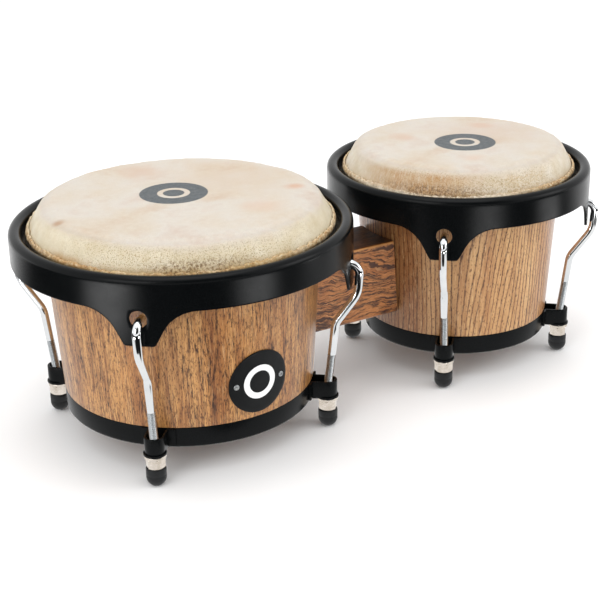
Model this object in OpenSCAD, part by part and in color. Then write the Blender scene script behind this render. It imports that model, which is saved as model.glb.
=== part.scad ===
// Pair of tunable bongo drums joined by a wooden centre block.
// Z is up, the rubber feet stand on z = 0, the large drum is at -X and the small drum at +X.
// All drum radii hang on the outer radius of that drum's rim, so both drums share one set of offsets.

/* [Drums] */
// Outer radius of the large drum's rim
large_rim_r = 120; // [115:1:125]
// Outer radius of the small drum's rim
small_rim_r = 102; // [98:1:106]
// Distance between the two drum axes
axis_distance = 240.7; // [238:0.1:250]
// Height of the playing surface above the floor
skin_top = 171.6; // [168:0.1:176]
// How far the large drum is turned about its own axis, with its hooks and badge
large_turn = 4.2; // [-8:0.2:8]
// How far the small drum is turned about its own axis, with its hooks
small_turn = 2.6; // [-8:0.2:8]

/* [Shell] */
// How far the shell's foot lies inside the rim's outer radius
shell_inset = 29.7; // [29.6:0.1:31]
// Outward taper of the shell wall, radius gained per millimetre of height
shell_taper = 0.066; // [0.05:0.001:0.07]
// Wall thickness of the shell at its foot
shell_wall = 14; // [10:0.5:15]
// Inward lean of the bore, radius gained per millimetre of height
bore_taper = 0.06; // [0.05:0.001:0.07]
// Radius of the rounded bearing edge under the skin
bearing_r = 11; // [9:0.5:11]

/* [Skin and hoop] */
// Thickness of the animal skin
skin_t = 1.2; // [1:0.1:1.5]
// Radius of the skin's shoulder, seen in section
skin_shoulder_r = 19; // [18:0.5:19]
// How far the flat playing surface ends inside the rim's outer radius
skin_flat_inset = 32.8; // [32:0.1:34]
// Radius of the steel wire of the flesh hoop
hoop_wire_r = 3.45; // [3:0.05:3.5]
// Height of the flesh hoop's centre line
hoop_z = 141; // [140:0.1:142]

/* [Rim] */
// Height of the rim's lower edge
rim_bottom = 133.3; // [132:0.1:134]
// Height of the top of the rolled rim
rim_top = 156; // [155:0.1:158]
// Thickness of the rim plate
rim_t = 2; // [1.5:0.1:2.2]
// Outer radius of the rolled top edge, seen in section
rim_roll_r = 4.6; // [4.4:0.1:4.8]
// How far each ear hangs below the rim
ear_drop = 23.7; // [22:0.1:25]
// Half of the ear's width at its tip
ear_tip_half = 10.3; // [9:0.1:11]
// Angle of the ear's straight sides above the horizontal
ear_side_angle = 62; // [58:1:66]
// Fillet radius between ear and rim
ear_fillet_r = 25; // [22:1:26]
// Radius of the hook hole in the ear
ear_hole_r = 5.9; // [5.5:0.1:6.2]
// Height of the hook hole's centre
ear_hole_z = 128; // [127.5:0.1:128.5]

/* [Tuning hooks] */
// Radius of the hook rod
rod_r = 3; // [2.9:0.05:3]
// How far the straight rod lies inside the rim's outer radius
rod_inset = 18.5; // [18:0.1:19]
// How far the hook bulges past the rim's outer radius, to its centre line
hook_bulge = 5; // [4.5:0.1:6]
// Height up to which the rod stands upright, through foot, nut and lug
rod_upright_z = 28; // [27.5:0.5:29]
// Lean of the rod above the lug, outwards from the vertical
rod_lean = 7; // [6:0.5:8]
// Radius of the slight bend where that lean begins
rod_foot_bend = 25; // [20:1:30]
// Lean of the hook's slanted stretch from the vertical
hook_lean = 35; // [33:1:37]
// Radius of the lower bend
hook_low_bend = 15; // [12:1:18]
// Radius of the upper bend
hook_high_bend = 20; // [16:1:24]
// Radius of the crest that passes through the ear
hook_crest_r = 7.5; // [7:0.1:8]
// Height where the crest begins
hook_crest_z = 118.3; // [118:0.1:118.5]
// Lean of the stretch between the upper bend and the crest
hook_top_lean = 5; // [4:0.5:6]
// Length of that stretch
hook_top_length = 9; // [8:0.5:10]
// Straight length of the hook's tip behind the ear
hook_tip = 6; // [4:0.5:7]
// Height of the rod's lower end
rod_end_z = 8.6; // [8:0.1:9]

/* [Lugs and feet] */
// Height of the bottom ring's lower edge
ring_bottom = 22; // [21:0.1:23]
// Height of the bottom ring
ring_h = 15; // [14:0.5:16]
// Thickness of the bottom ring's plate
ring_t = 1.6; // [1.4:0.1:1.8]
// Width of the inward lip that carries the shell
ring_lip = 9; // [7:0.5:10]
// Outer radius of the lug's U, around the rod
lug_r = 7; // [6.8:0.1:7.2]
// Thickness of the lug strap and of its floor
lug_t = 1.8; // [1.6:0.1:1.9]
// Height of the lug's lower face
lug_bottom = 23; // [22.9:0.1:23.2]
// Height of the lug strap
lug_h = 13.5; // [13:0.1:14]
// Width of each lug flange beside the strap
lug_flange = 5; // [4:0.5:6]
// Radius of the washer under each lug
washer_r = 7.6; // [7.4:0.1:7.8]
// Thickness of the washer under each lug
washer_t = 2; // [1.6:0.1:2]
// Width across the flats of the tuning nut
nut_flats = 12; // [11.5:0.1:12.2]
// Radial running clearance between nut and rod
thread_gap = 0.04; // [0.03:0.01:0.08]
// Radius of the rubber foot
cap_r = 7; // [6.8:0.1:7.2]
// Height of the rubber foot
cap_h = 13.4; // [13:0.1:13.6]

/* [Centre block] */
// Width of the block across the drums
block_w = 45; // [40:1:50]
// Height of the block's lower face
block_bottom = 52; // [50:0.5:55]
// Height of the block's upper face
block_top = 110.5; // [108:0.5:112]
// Depth of the shallow saddle in each end of the block
block_saddle = 1.2; // [0.8:0.1:2]
// Radius of the block's rounded long edges
block_edge_r = 2; // [1:0.5:3]
// Radius of the block bolts
bolt_r = 4; // [3.5:0.1:4]
// How deep each bolt reaches into the block
bolt_depth = 26; // [20:1:28]
// Height of the lower and upper block bolts
bolt_z = [66, 96]; // [60:1:100]

/* [Badge] */
// Radius of the round badge on the large drum
badge_r = 23; // [21:0.5:24]
// Thickness of the badge
badge_t = 1; // [0.8:0.1:1.2]
// Height of the badge's centre
badge_z = 63.5; // [62:0.5:66]
// Distance of each nail from the badge's centre
nail_offset = 17.7; // [16:0.1:18.5]

/* [Hidden] */

$fn = 96;
// Places 1 to 4 are the back right, back left, front left and front right of a drum that isn't turned.
place_angles = [45, 135, 225, 315];

total_length = large_rim_r + axis_distance + small_rim_r;
large_x = large_rim_r - total_length / 2;
small_x = large_x + axis_distance;

contact_gap = 0.05;
skin_gap = 0.15;
ring_top = ring_bottom + ring_h;
shell_bottom = ring_bottom + ring_t;
shell_top = skin_top - skin_t - skin_gap;
bearing_z = shell_top - bearing_r;
hoop_inset = skin_flat_inset - skin_shoulder_r - hoop_wire_r - contact_gap;
tucked_r = hoop_wire_r + contact_gap + skin_t;
rim_inner_end = hoop_z + tucked_r + contact_gap;
washer_top = lug_bottom;
washer_bottom = washer_top - washer_t;
nut_top = washer_bottom - contact_gap;
nut_cap_gap = 0.2;
nut_neck_top = cap_h + nut_cap_gap;
nut_neck_bottom = 10;
nut_neck_r = 5.3;
cap_floor = 2.8;
cap_bore_r = 4.3;
cap_dome_z = 6.6;
rod_hole_r = 3.3;
lug_floor_lip = 1;
bend_swell = 0.02;
bend_overlap = 0.4;
bolt_hole_r = bolt_r + 0.2;
bolt_tip_gap = 1;
bolt_head_flats = 13;
bolt_head_h = 5.5;
block_relief = 0.6;
block_washer_r = 10;
block_washer_t = 2;
spot_face_r = block_washer_r + 0.5;
spot_face_depth = 0.5;
nail_r = 0.9;
nail_head_r = 2;
nail_head_h = 0.7;
nail_length = 9;
nail_clearance = 0.1;
far = 400;
overlap = 1;
wire_fn = 48;
nail_fn = 32;

// Outer radius of a shell at height z.
function shell_r(rim_r, z) = rim_r - shell_inset + shell_taper * (z - ring_top);
// Bore radius of a shell at height z.
function bore_r(rim_r, z) = rim_r - shell_inset - shell_wall + bore_taper * (z - shell_bottom);
// Turn of a drum about its own axis.
function drum_turn(rim_r) = rim_r == large_rim_r ? large_turn : small_turn;
// Sign of the direction from a drum's axis towards the block.
function block_side(rim_r) = rim_r == large_rim_r ? 1 : -1;
// Radius of the flat seat that the block's washers press on, inside the shell.
function seat_r(rim_r) = bore_r(rim_r, bolt_z[1] + spot_face_r) + spot_face_depth;
// Distance from a drum's axis to the tips of its block bolts.
function bolt_tip_r(rim_r) = shell_r(rim_r, bolt_z[0]) + bolt_depth;
// Distance from the large drum's axis to the underside of the badge's nail heads.
function nail_seat_r() = shell_r(large_rim_r, badge_z) + badge_t + 2 * contact_gap + nail_clearance;

// Moves a piece from the origin to the axis of its drum.
module on_drum(rim_r) {
    translate([rim_r == large_rim_r ? large_x : small_x, 0, 0])
        children();
}

// Turns a piece drawn along +X to one of the four places around a drum.
module at_place(rim_r, place) {
    on_drum(rim_r)
        rotate([0, 0, place_angles[place - 1] + drum_turn(rim_r)])
            children();
}

// A flat ring, or a tube, around the Z axis.
module tube(outer_r, inner_r, bottom, height) {
    difference() {
        translate([0, 0, bottom])
            cylinder(r = outer_r, h = height);
        translate([0, 0, bottom - overlap])
            cylinder(r = inner_r, h = height + 2 * overlap);
    }
}

// A solid cone that matches the outside of a shell, grown by a margin.
module shell_cone(rim_r, margin) {
    cylinder(r1 = shell_r(rim_r, 0) + margin, r2 = shell_r(rim_r, bearing_z) + margin, h = bearing_z);
}

// The two bolt axes between a drum and the block, as cylinders running towards the block.
module bolt_axes(rim_r, radius, from_r, length) {
    for (z = bolt_z)
        rotate([0, 0, block_side(rim_r) > 0 ? 0 : 180])
            translate([from_r, 0, z])
                rotate([0, 90, 0])
                    cylinder(r = radius, h = length);
}

// ---- Shell and bottom ring ----

module shell_section(rim_r) {
    edge_r = rim_r - skin_flat_inset;
    difference() {
        polygon([
            [bore_r(rim_r, shell_bottom), shell_bottom],
            [shell_r(rim_r, shell_bottom), shell_bottom],
            [shell_r(rim_r, bearing_z), bearing_z],
            [bore_r(rim_r, bearing_z), bearing_z]]);
        translate([rim_r - shell_inset - ring_t, 0])
            square([far, ring_top]);
    }
    intersection() {
        translate([edge_r, bearing_z])
            circle(r = bearing_r);
        translate([bore_r(rim_r, bearing_z), bearing_z])
            square([far, far]);
    }
}

module nail_axes(radius, from_r, length) {
    for (side = [-1, 1])
        translate([0, 0, badge_z])
            rotate([0, 0, large_turn - 90 + side * asin(nail_offset / shell_r(large_rim_r, badge_z))])
                translate([from_r, 0, 0])
                    rotate([0, 90, 0])
                        cylinder(r = radius, h = length, $fn = nail_fn);
}

module shell(rim_r) {
    color("peru")
        on_drum(rim_r)
            difference() {
                rotate_extrude()
                    shell_section(rim_r);
                bolt_axes(rim_r, bolt_hole_r, 0, far);
                bolt_axes(rim_r, spot_face_r, 0, seat_r(rim_r));
                if (rim_r == large_rim_r)
                    nail_axes(nail_r, shell_r(rim_r, badge_z) - nail_length, 2 * nail_length);
            }
}

module bottom_ring(rim_r) {
    ring_r = rim_r - shell_inset;
    color("#1c2223")
        on_drum(rim_r) {
            tube(ring_r, ring_r - ring_t, ring_bottom, ring_h);
            tube(ring_r - ring_t / 2, ring_r - ring_lip, ring_bottom, ring_t);
        }
}

// ---- Lugs, washers, nuts and feet ----

module lug_strap_outline(rim_r) {
    ring_r = rim_r - shell_inset;
    rod_x = rim_r - rod_inset;
    difference() {
        union() {
            translate([rod_x, 0])
                circle(r = lug_r);
            translate([ring_r - overlap, -lug_r])
                square([rod_x - ring_r + overlap, 2 * lug_r]);
            intersection() {
                circle(r = ring_r + lug_t);
                translate([0, -lug_r - lug_flange])
                    square([far, 2 * (lug_r + lug_flange)]);
            }
        }
        circle(r = ring_r);
        translate([rod_x, 0])
            circle(r = lug_r - lug_t);
        translate([0, lug_t - lug_r])
            square([rod_x, 2 * (lug_r - lug_t)]);
    }
}

module lug_floor_outline(rim_r) {
    rod_x = rim_r - rod_inset;
    difference() {
        union() {
            translate([rod_x, 0])
                circle(r = lug_r + lug_floor_lip);
            translate([0, lug_t / 2 - lug_r])
                square([rod_x, 2 * lug_r - lug_t]);
        }
        circle(r = rim_r - shell_inset);
        translate([rod_x, 0])
            circle(r = rod_hole_r);
    }
}

module lug(rim_r, place) {
    color("#22282a")
        at_place(rim_r, place) {
            translate([0, 0, lug_bottom])
                linear_extrude(height = lug_t)
                    lug_floor_outline(rim_r);
            translate([0, 0, lug_bottom + lug_t / 2])
                linear_extrude(height = lug_h - lug_t / 2)
                    lug_strap_outline(rim_r);
        }
}

module lug_washers(rim_r) {
    color("silver")
        for (place = [1:4])
            at_place(rim_r, place)
                translate([rim_r - rod_inset, 0, 0])
                    tube(washer_r, rod_hole_r, washer_bottom, washer_t);
}

module tuning_nut(rim_r, place) {
    color("#d9cdc0")
        at_place(rim_r, place)
            translate([rim_r - rod_inset, 0, 0])
                difference() {
                    union() {
                        translate([0, 0, nut_neck_top])
                            cylinder(r = nut_flats / sqrt(3), h = nut_top - nut_neck_top, $fn = 6);
                        translate([0, 0, nut_neck_bottom])
                            cylinder(r = nut_neck_r, h = nut_neck_top - nut_neck_bottom + overlap);
                    }
                    cylinder(r = rod_r + thread_gap, h = far);
                }
}

module foot_cap(rim_r, place) {
    color("#202224")
        at_place(rim_r, place)
            translate([rim_r - rod_inset, 0, 0])
                difference() {
                    union() {
                        translate([0, 0, cap_dome_z])
                            cylinder(r = cap_r, h = cap_h - cap_dome_z);
                        intersection() {
                            translate([0, 0, cap_dome_z])
                                sphere(r = cap_r);
                            cylinder(r = 2 * cap_r, h = cap_dome_z);
                        }
                    }
                    translate([0, 0, cap_floor])
                        cylinder(r = cap_bore_r, h = far);
                    translate([0, 0, nut_neck_bottom])
                        cylinder(r = nut_neck_r, h = far);
                }
}

// ---- Hooks ----

// One bend of the rod in the XZ plane: it starts at the origin heading up (+Z) and turns towards
// +X (side = 1) or -X (side = -1). Bending swells the rod a little.
module rod_bend(bend_r, angle, side) {
    translate([side * bend_r, 0, 0])
        rotate([90, 0, 0])
            rotate([0, 0, side > 0 ? 180 - angle : 0])
                rotate_extrude(angle = angle)
                    translate([bend_r, 0])
                        circle(r = rod_r + bend_swell, $fn = wire_fn);
}

// A straight stretch of the rod along +Z. Each end that meets a bend reaches a little way into it.
module rod_length(length, free_start = false) {
    start = free_start ? 0 : -bend_overlap;
    translate([0, 0, start])
        cylinder(r = rod_r, h = length + bend_overlap - start, $fn = wire_fn);
}

// How far a bend of the rod carries it in X and Z, from one lean to another.
function bend_step(bend_r, from, to) =
    (to > from ? bend_r : -bend_r) * [cos(from) - cos(to), sin(to) - sin(from)];
// How far a straight stretch carries it in X and Z.
function straight_step(length, lean) = length * [sin(lean), cos(lean)];

// Places a piece of rod drawn from the origin up +Z at a point of the hook's XZ plane, at a lean.
module on_path(point, lean) {
    translate([point.x, 0, point.y])
        rotate([0, lean, 0])
            children();
}

module hook(rim_r, place) {
    low_x = rim_r - rod_inset;
    crest_x = rim_r + hook_bulge - hook_crest_r;
    foot_bend_start = [low_x, rod_upright_z];
    leaning_start = foot_bend_start + bend_step(rod_foot_bend, 0, rod_lean);
    crest_start = [crest_x, hook_crest_z] + hook_crest_r * [cos(hook_top_lean), -sin(hook_top_lean)];
    top_start = crest_start - straight_step(hook_top_length, hook_top_lean);
    slant_end = top_start - bend_step(hook_high_bend, hook_lean, hook_top_lean);
    gap = slant_end - leaning_start - bend_step(hook_low_bend, rod_lean, hook_lean);
    leaning = (gap.y * sin(hook_lean) - gap.x * cos(hook_lean)) / sin(hook_lean - rod_lean);
    slant = (gap.x * cos(rod_lean) - gap.y * sin(rod_lean)) / sin(hook_lean - rod_lean);
    low_bend_start = leaning_start + straight_step(leaning, rod_lean);
    slant_start = slant_end - straight_step(slant, hook_lean);
    color("gainsboro")
        at_place(rim_r, place) {
            on_path([low_x, rod_end_z], 0)
                rod_length(rod_upright_z - rod_end_z, free_start = true);
            on_path(foot_bend_start, 0)
                rod_bend(rod_foot_bend, rod_lean, 1);
            on_path(leaning_start, rod_lean)
                rod_length(leaning);
            on_path(low_bend_start, rod_lean)
                rod_bend(hook_low_bend, hook_lean - rod_lean, 1);
            on_path(slant_start, hook_lean)
                rod_length(slant);
            on_path(slant_end, hook_lean)
                rod_bend(hook_high_bend, hook_lean - hook_top_lean, -1);
            on_path(top_start, hook_top_lean)
                rod_length(hook_top_length);
            on_path(crest_start, hook_top_lean)
                rod_bend(hook_crest_r, 90 + hook_top_lean, -1);
            on_path([crest_x, hook_crest_z + hook_crest_r], -90)
                rod_length(hook_tip);
        }
}

// ---- Rim, hoop and skin ----

module ear_outline() {
    fillet_z = rim_bottom - ear_fillet_r * (1 - cos(ear_side_angle));
    side_x = ear_tip_half + (fillet_z - rim_bottom + ear_drop) / tan(ear_side_angle);
    fillet_x = side_x + ear_fillet_r * sin(ear_side_angle);
    difference() {
        polygon([
            [-ear_tip_half, rim_bottom - ear_drop],
            [ear_tip_half, rim_bottom - ear_drop],
            [side_x, fillet_z],
            [fillet_x, fillet_z],
            [fillet_x, rim_bottom + overlap],
            [-fillet_x, rim_bottom + overlap],
            [-fillet_x, fillet_z],
            [-side_x, fillet_z]]);
        for (side = [-1, 1])
            translate([side * fillet_x, rim_bottom - ear_fillet_r])
                circle(r = ear_fillet_r);
        translate([0, ear_hole_z])
            circle(r = ear_hole_r);
    }
}

module rim_section(rim_r) {
    roll_x = rim_r - rim_roll_r;
    roll_z = rim_top - rim_roll_r;
    translate([rim_r - rim_t, rim_bottom])
        square([rim_t, roll_z - rim_bottom]);
    translate([rim_r - 2 * rim_roll_r, rim_inner_end])
        square([rim_t, roll_z - rim_inner_end]);
    intersection() {
        difference() {
            translate([roll_x, roll_z])
                circle(r = rim_roll_r);
            translate([roll_x, roll_z])
                circle(r = rim_roll_r - rim_t);
        }
        translate([0, roll_z])
            square([far, far]);
    }
}

module rim(rim_r) {
    color("#1c2223")
        on_drum(rim_r) {
            difference() {
                rotate_extrude()
                    rim_section(rim_r);
                for (angle = place_angles)
                    rotate([0, 0, angle + drum_turn(rim_r)])
                        translate([0, 0, ear_hole_z])
                            rotate([0, 90, 0])
                                cylinder(r = ear_hole_r, h = far);
            }
            intersection() {
                tube(rim_r, rim_r - rim_t, rim_bottom - ear_drop, ear_drop + overlap);
                for (angle = place_angles)
                    rotate([0, 0, angle + drum_turn(rim_r)])
                        rotate([90, 0, 90])
                            linear_extrude(height = far)
                                ear_outline();
            }
        }
}

module flesh_hoop(rim_r) {
    color("dimgray")
        on_drum(rim_r)
            rotate_extrude()
                translate([rim_r - hoop_inset, hoop_z])
                    circle(r = hoop_wire_r, $fn = wire_fn);
}

module skin_section(rim_r) {
    flat_r = rim_r - skin_flat_inset;
    shoulder_z = skin_top - skin_shoulder_r;
    translate([0, skin_top - skin_t])
        square([flat_r, skin_t]);
    intersection() {
        difference() {
            translate([flat_r, shoulder_z])
                circle(r = skin_shoulder_r);
            translate([flat_r, shoulder_z])
                circle(r = skin_shoulder_r - skin_t);
        }
        translate([flat_r, shoulder_z])
            square([far, far]);
    }
    translate([flat_r + skin_shoulder_r - skin_t, hoop_z])
        square([skin_t, shoulder_z - hoop_z]);
    difference() {
        translate([rim_r - hoop_inset, hoop_z])
            circle(r = tucked_r, $fn = wire_fn);
        translate([rim_r - hoop_inset, hoop_z])
            circle(r = hoop_wire_r + contact_gap, $fn = wire_fn);
    }
}

module head_skin(rim_r) {
    color("#e8dccd")
        on_drum(rim_r)
            rotate_extrude()
                skin_section(rim_r);
}

// ---- Centre block and its bolts ----

// The block's slanted ends, as a slab seen from the front.
module block_slab() {
    large_low = large_x + shell_r(large_rim_r, block_bottom) - block_saddle;
    large_high = large_x + shell_r(large_rim_r, block_top) - block_saddle;
    small_low = small_x - shell_r(small_rim_r, block_bottom) + block_saddle;
    small_high = small_x - shell_r(small_rim_r, block_top) + block_saddle;
    translate([0, block_w / 2, 0])
        rotate([90, 0, 0])
            linear_extrude(height = block_w)
                polygon([
                    [large_low, block_bottom],
                    [small_low, block_bottom],
                    [small_high, block_top],
                    [large_high, block_top]]);
}

// A bar along X with the block's rounded section.
module block_bar() {
    straight_y = block_w - 2 * block_edge_r;
    straight_z = block_top - block_bottom - 2 * block_edge_r;
    translate([large_x, 0, 0])
        rotate([90, 0, 90])
            linear_extrude(height = axis_distance)
                union() {
                    translate([-block_w / 2, block_bottom + block_edge_r])
                        square([block_w, straight_z]);
                    translate([-straight_y / 2, block_bottom])
                        square([straight_y, block_top - block_bottom]);
                    for (y = [-1, 1], z = [block_bottom + block_edge_r, block_top - block_edge_r])
                        translate([y * straight_y / 2, z])
                            circle(r = block_edge_r);
                }
}

module centre_block() {
    color("#8a4a2b")
        difference() {
            intersection() {
                block_slab();
                block_bar();
            }
            for (rim_r = [large_rim_r, small_rim_r])
                on_drum(rim_r) {
                    shell_cone(rim_r, contact_gap);
                    bolt_axes(rim_r, bolt_r, 0, bolt_tip_r(rim_r) + bolt_tip_gap);
                    translate([0, 0, block_top - block_relief])
                        cylinder(r = shell_r(rim_r, block_top) + block_relief, h = far);
                }
        }
}

module block_bolts(rim_r) {
    seat = seat_r(rim_r) - block_washer_t;
    color("silver")
        on_drum(rim_r) {
            bolt_axes(rim_r, bolt_r, seat - overlap, bolt_tip_r(rim_r) - seat + overlap);
            for (z = bolt_z)
                rotate([0, 0, block_side(rim_r) > 0 ? 0 : 180])
                    translate([seat - bolt_head_h, 0, z])
                        rotate([0, 90, 0])
                            cylinder(r = bolt_head_flats / sqrt(3), h = bolt_head_h, $fn = 6);
        }
}

module block_washers(rim_r) {
    color("silver")
        on_drum(rim_r)
            difference() {
                bolt_axes(rim_r, block_washer_r, seat_r(rim_r) - block_washer_t, block_washer_t);
                bolt_axes(rim_r, bolt_hole_r, 0, far);
            }
}

// ---- Badge ----

module badge() {
    color("#1a1c1d")
        on_drum(large_rim_r)
            difference() {
                intersection() {
                    shell_cone(large_rim_r, badge_t + contact_gap);
                    translate([0, 0, badge_z])
                        rotate([90, 0, large_turn])
                            cylinder(r = badge_r, h = far);
                }
                shell_cone(large_rim_r, contact_gap);
                nail_axes(nail_r + contact_gap, 0, far);
            }
}

module badge_nails() {
    color("silver")
        on_drum(large_rim_r) {
            nail_axes(nail_r, nail_seat_r() - nail_length, nail_length + nail_head_h / 2);
            nail_axes(nail_head_r, nail_seat_r(), nail_head_h);
        }
}

centre_block();
badge();
badge_nails();

shell(large_rim_r);  // large_shell
bottom_ring(large_rim_r);  // large_bottom_ring
lug_washers(large_rim_r);  // large_lug_washers
rim(large_rim_r);  // large_rim
flesh_hoop(large_rim_r);  // large_flesh_hoop
head_skin(large_rim_r);  // large_head_skin
block_bolts(large_rim_r);  // large_block_bolts
block_washers(large_rim_r);  // large_block_washers

shell(small_rim_r);  // small_shell
bottom_ring(small_rim_r);  // small_bottom_ring
lug_washers(small_rim_r);  // small_lug_washers
rim(small_rim_r);  // small_rim
flesh_hoop(small_rim_r);  // small_flesh_hoop
head_skin(small_rim_r);  // small_head_skin
block_bolts(small_rim_r);  // small_block_bolts
block_washers(small_rim_r);  // small_block_washers

lug(large_rim_r, 1);  // large_lug_1
lug(large_rim_r, 2);  // large_lug_2
lug(large_rim_r, 3);  // large_lug_3
lug(large_rim_r, 4);  // large_lug_4
hook(large_rim_r, 1);  // large_hook_1
hook(large_rim_r, 2);  // large_hook_2
hook(large_rim_r, 3);  // large_hook_3
hook(large_rim_r, 4);  // large_hook_4
tuning_nut(large_rim_r, 1);  // large_tuning_nut_1
tuning_nut(large_rim_r, 2);  // large_tuning_nut_2
tuning_nut(large_rim_r, 3);  // large_tuning_nut_3
tuning_nut(large_rim_r, 4);  // large_tuning_nut_4
foot_cap(large_rim_r, 1);  // large_foot_cap_1
foot_cap(large_rim_r, 2);  // large_foot_cap_2
foot_cap(large_rim_r, 3);  // large_foot_cap_3
foot_cap(large_rim_r, 4);  // large_foot_cap_4

lug(small_rim_r, 1);  // small_lug_1
lug(small_rim_r, 2);  // small_lug_2
lug(small_rim_r, 3);  // small_lug_3
lug(small_rim_r, 4);  // small_lug_4
hook(small_rim_r, 1);  // small_hook_1
hook(small_rim_r, 2);  // small_hook_2
hook(small_rim_r, 3);  // small_hook_3
hook(small_rim_r, 4);  // small_hook_4
tuning_nut(small_rim_r, 1);  // small_tuning_nut_1
tuning_nut(small_rim_r, 2);  // small_tuning_nut_2
tuning_nut(small_rim_r, 3);  // small_tuning_nut_3
tuning_nut(small_rim_r, 4);  // small_tuning_nut_4
foot_cap(small_rim_r, 1);  // small_foot_cap_1
foot_cap(small_rim_r, 2);  // small_foot_cap_2
foot_cap(small_rim_r, 3);  // small_foot_cap_3
foot_cap(small_rim_r, 4);  // small_foot_cap_4
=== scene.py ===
import math
import bpy
from mathutils import Matrix, Vector, noise


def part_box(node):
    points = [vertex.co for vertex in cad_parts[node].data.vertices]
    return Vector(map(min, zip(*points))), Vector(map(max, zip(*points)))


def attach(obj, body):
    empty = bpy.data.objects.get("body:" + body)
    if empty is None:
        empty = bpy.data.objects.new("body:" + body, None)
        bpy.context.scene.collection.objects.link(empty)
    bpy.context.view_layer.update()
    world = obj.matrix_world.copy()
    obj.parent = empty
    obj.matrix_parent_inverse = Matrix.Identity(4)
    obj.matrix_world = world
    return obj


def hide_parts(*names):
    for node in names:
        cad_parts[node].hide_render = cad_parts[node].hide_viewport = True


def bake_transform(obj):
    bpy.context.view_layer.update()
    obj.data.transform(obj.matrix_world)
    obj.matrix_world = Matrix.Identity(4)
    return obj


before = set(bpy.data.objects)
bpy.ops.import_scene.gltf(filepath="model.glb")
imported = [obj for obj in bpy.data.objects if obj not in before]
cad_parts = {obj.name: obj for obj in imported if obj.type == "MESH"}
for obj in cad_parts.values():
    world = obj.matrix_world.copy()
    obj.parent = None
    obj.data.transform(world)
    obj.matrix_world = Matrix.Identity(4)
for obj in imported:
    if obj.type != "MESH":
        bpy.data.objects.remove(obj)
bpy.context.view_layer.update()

MM = 0.001
# Where the hooks, lugs, nuts and feet stand round each drum, in degrees before the drum's own turn.
PLACES = {1: 45, 2: 135, 3: 225, 4: 315}

# The tuning hook's centre line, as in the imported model: millimetres, and degrees from upright.
ROD_R = 3.0
ROD_LEAN, HOOK_LEAN, TOP_LEAN = 7, 35, 5
FOOT_BEND, LOW_BEND, HIGH_BEND, CREST_BEND = 25, 15, 20, 7.5
UPRIGHT_Z, CREST_Z, TOP_LENGTH, TIP = 28, 118.3, 9, 6
THREAD_PITCH = 1.0
THREAD_TOP = {"large": 58.5, "small": 61.5}
# How much a shell's radius grows with each millimetre of height, and how far out the badge's nails stand.
SHELL_FLARE = 0.066
NAIL_OFFSET = 17.7

# Stains down each head's side: middle and half width in degrees from the badge's side, lowest and
# highest point in millimetres, colour, share, and whether they are speckled.
STAINS = {
    "large": [
        (-14, 46, 149, 160, "#b08f50", 0.45, False),
        (-23, 24, 150, 163, "#66461b", 0.85, True),
        (-70, 24, 150, 160, "#a9793a", 0.50, False)],
    "small": [
        (-60, 42, 153, 170, "#a5701a", 0.78, False),
        (-53, 36, 151, 163, "#553510", 0.70, True),
        (-26, 30, 151, 160, "#6b4a1a", 0.30, True),
        (-6, 28, 153, 168, "#a5803f", 0.40, True)]}
# Spots on each head's top: x, y and radius in metres, colour and share.
SPOTS = {
    "large": [
        (0.0760, -0.0280, 0.0100, "#c08a66", 0.62),
        (-0.0930, -0.0050, 0.0060, "#9c7048", 0.65),
        (0.0, 0.066, 0.024, "#bb9274", 0.45),
        (0.036, -0.052, 0.020, "#c49a7c", 0.35),
        (0.048, 0.020, 0.070, "#b99c7c", 0.30)],
    "small": [
        (0.041, 0.025, 0.012, "#c49879", 0.45),
        (-0.030, 0.030, 0.016, "#bf967a", 0.45),
        (-0.02, -0.045, 0.014, "#c9a387", 0.40),
        (0.030, 0.005, 0.060, "#bb9f8d", 0.34)]}


# ---------------------------------------------------------------- frame sizes

class Drum:
    """One drum's sizes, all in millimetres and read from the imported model."""

    def __init__(self, name):
        self.name = name
        self.large = name == "large"
        self.body = f"{name}_head"
        self.x = self.middle("rim", 0)
        self.rim_r = self.radius("rim")
        self.ear_bottom, self.rim_top = self.heights("rim")
        # the head's flat top ends where the skin starts to bend over the shell
        self.flat_r = self.rim_r - 32.8
        self.skin_top = self.heights("head_skin")[1]
        self.ring_r = self.radius("bottom_ring")
        self.cap_r = self.radius("foot_cap_1")
        rod = self.middle("tuning_nut_1", 0) - self.x, self.middle("tuning_nut_1", 1)
        self.rod_r = math.hypot(*rod)
        self.turn = math.degrees(math.atan2(rod[1], rod[0])) - PLACES[1]
        self.ring_z = self.heights("bottom_ring")
        self.nut_z = self.heights("tuning_nut_1")
        self.lug_z = self.heights("lug_1")
        self.washer_z = self.heights("lug_washers")
        self.cap_top = self.heights("foot_cap_1")[1]
        self.rod_end = self.heights("hook_1")[0]

    def middle(self, part, axis):
        low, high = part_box(f"{self.name}_{part}")
        return (low[axis] + high[axis]) / 2 / MM

    def radius(self, part):
        low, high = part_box(f"{self.name}_{part}")
        return (high[0] - low[0]) / 2 / MM

    def heights(self, part):
        low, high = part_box(f"{self.name}_{part}")
        return low[2] / MM, high[2] / MM

    def shell_r(self, z):
        """The shell's outer radius, which grows with height."""
        return self.ring_r + SHELL_FLARE * (z - self.ring_z[1])

    def at(self, place):
        """The transform from a piece drawn along +X to one of the drum's four places."""
        return self.centre(PLACES[place])

    def centre(self, angle=0):
        """The transform from a piece drawn about Z to the drum, which is turned a little on its axis."""
        return Matrix.Translation((self.x * MM, 0, 0)) @ turned(angle + self.turn)


def turned(degrees, axis="Z"):
    return Matrix.Rotation(math.radians(degrees), 4, axis)


DRUMS = [Drum("large"), Drum("small")]


# ---------------------------------------------------------------- mesh helpers

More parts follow.
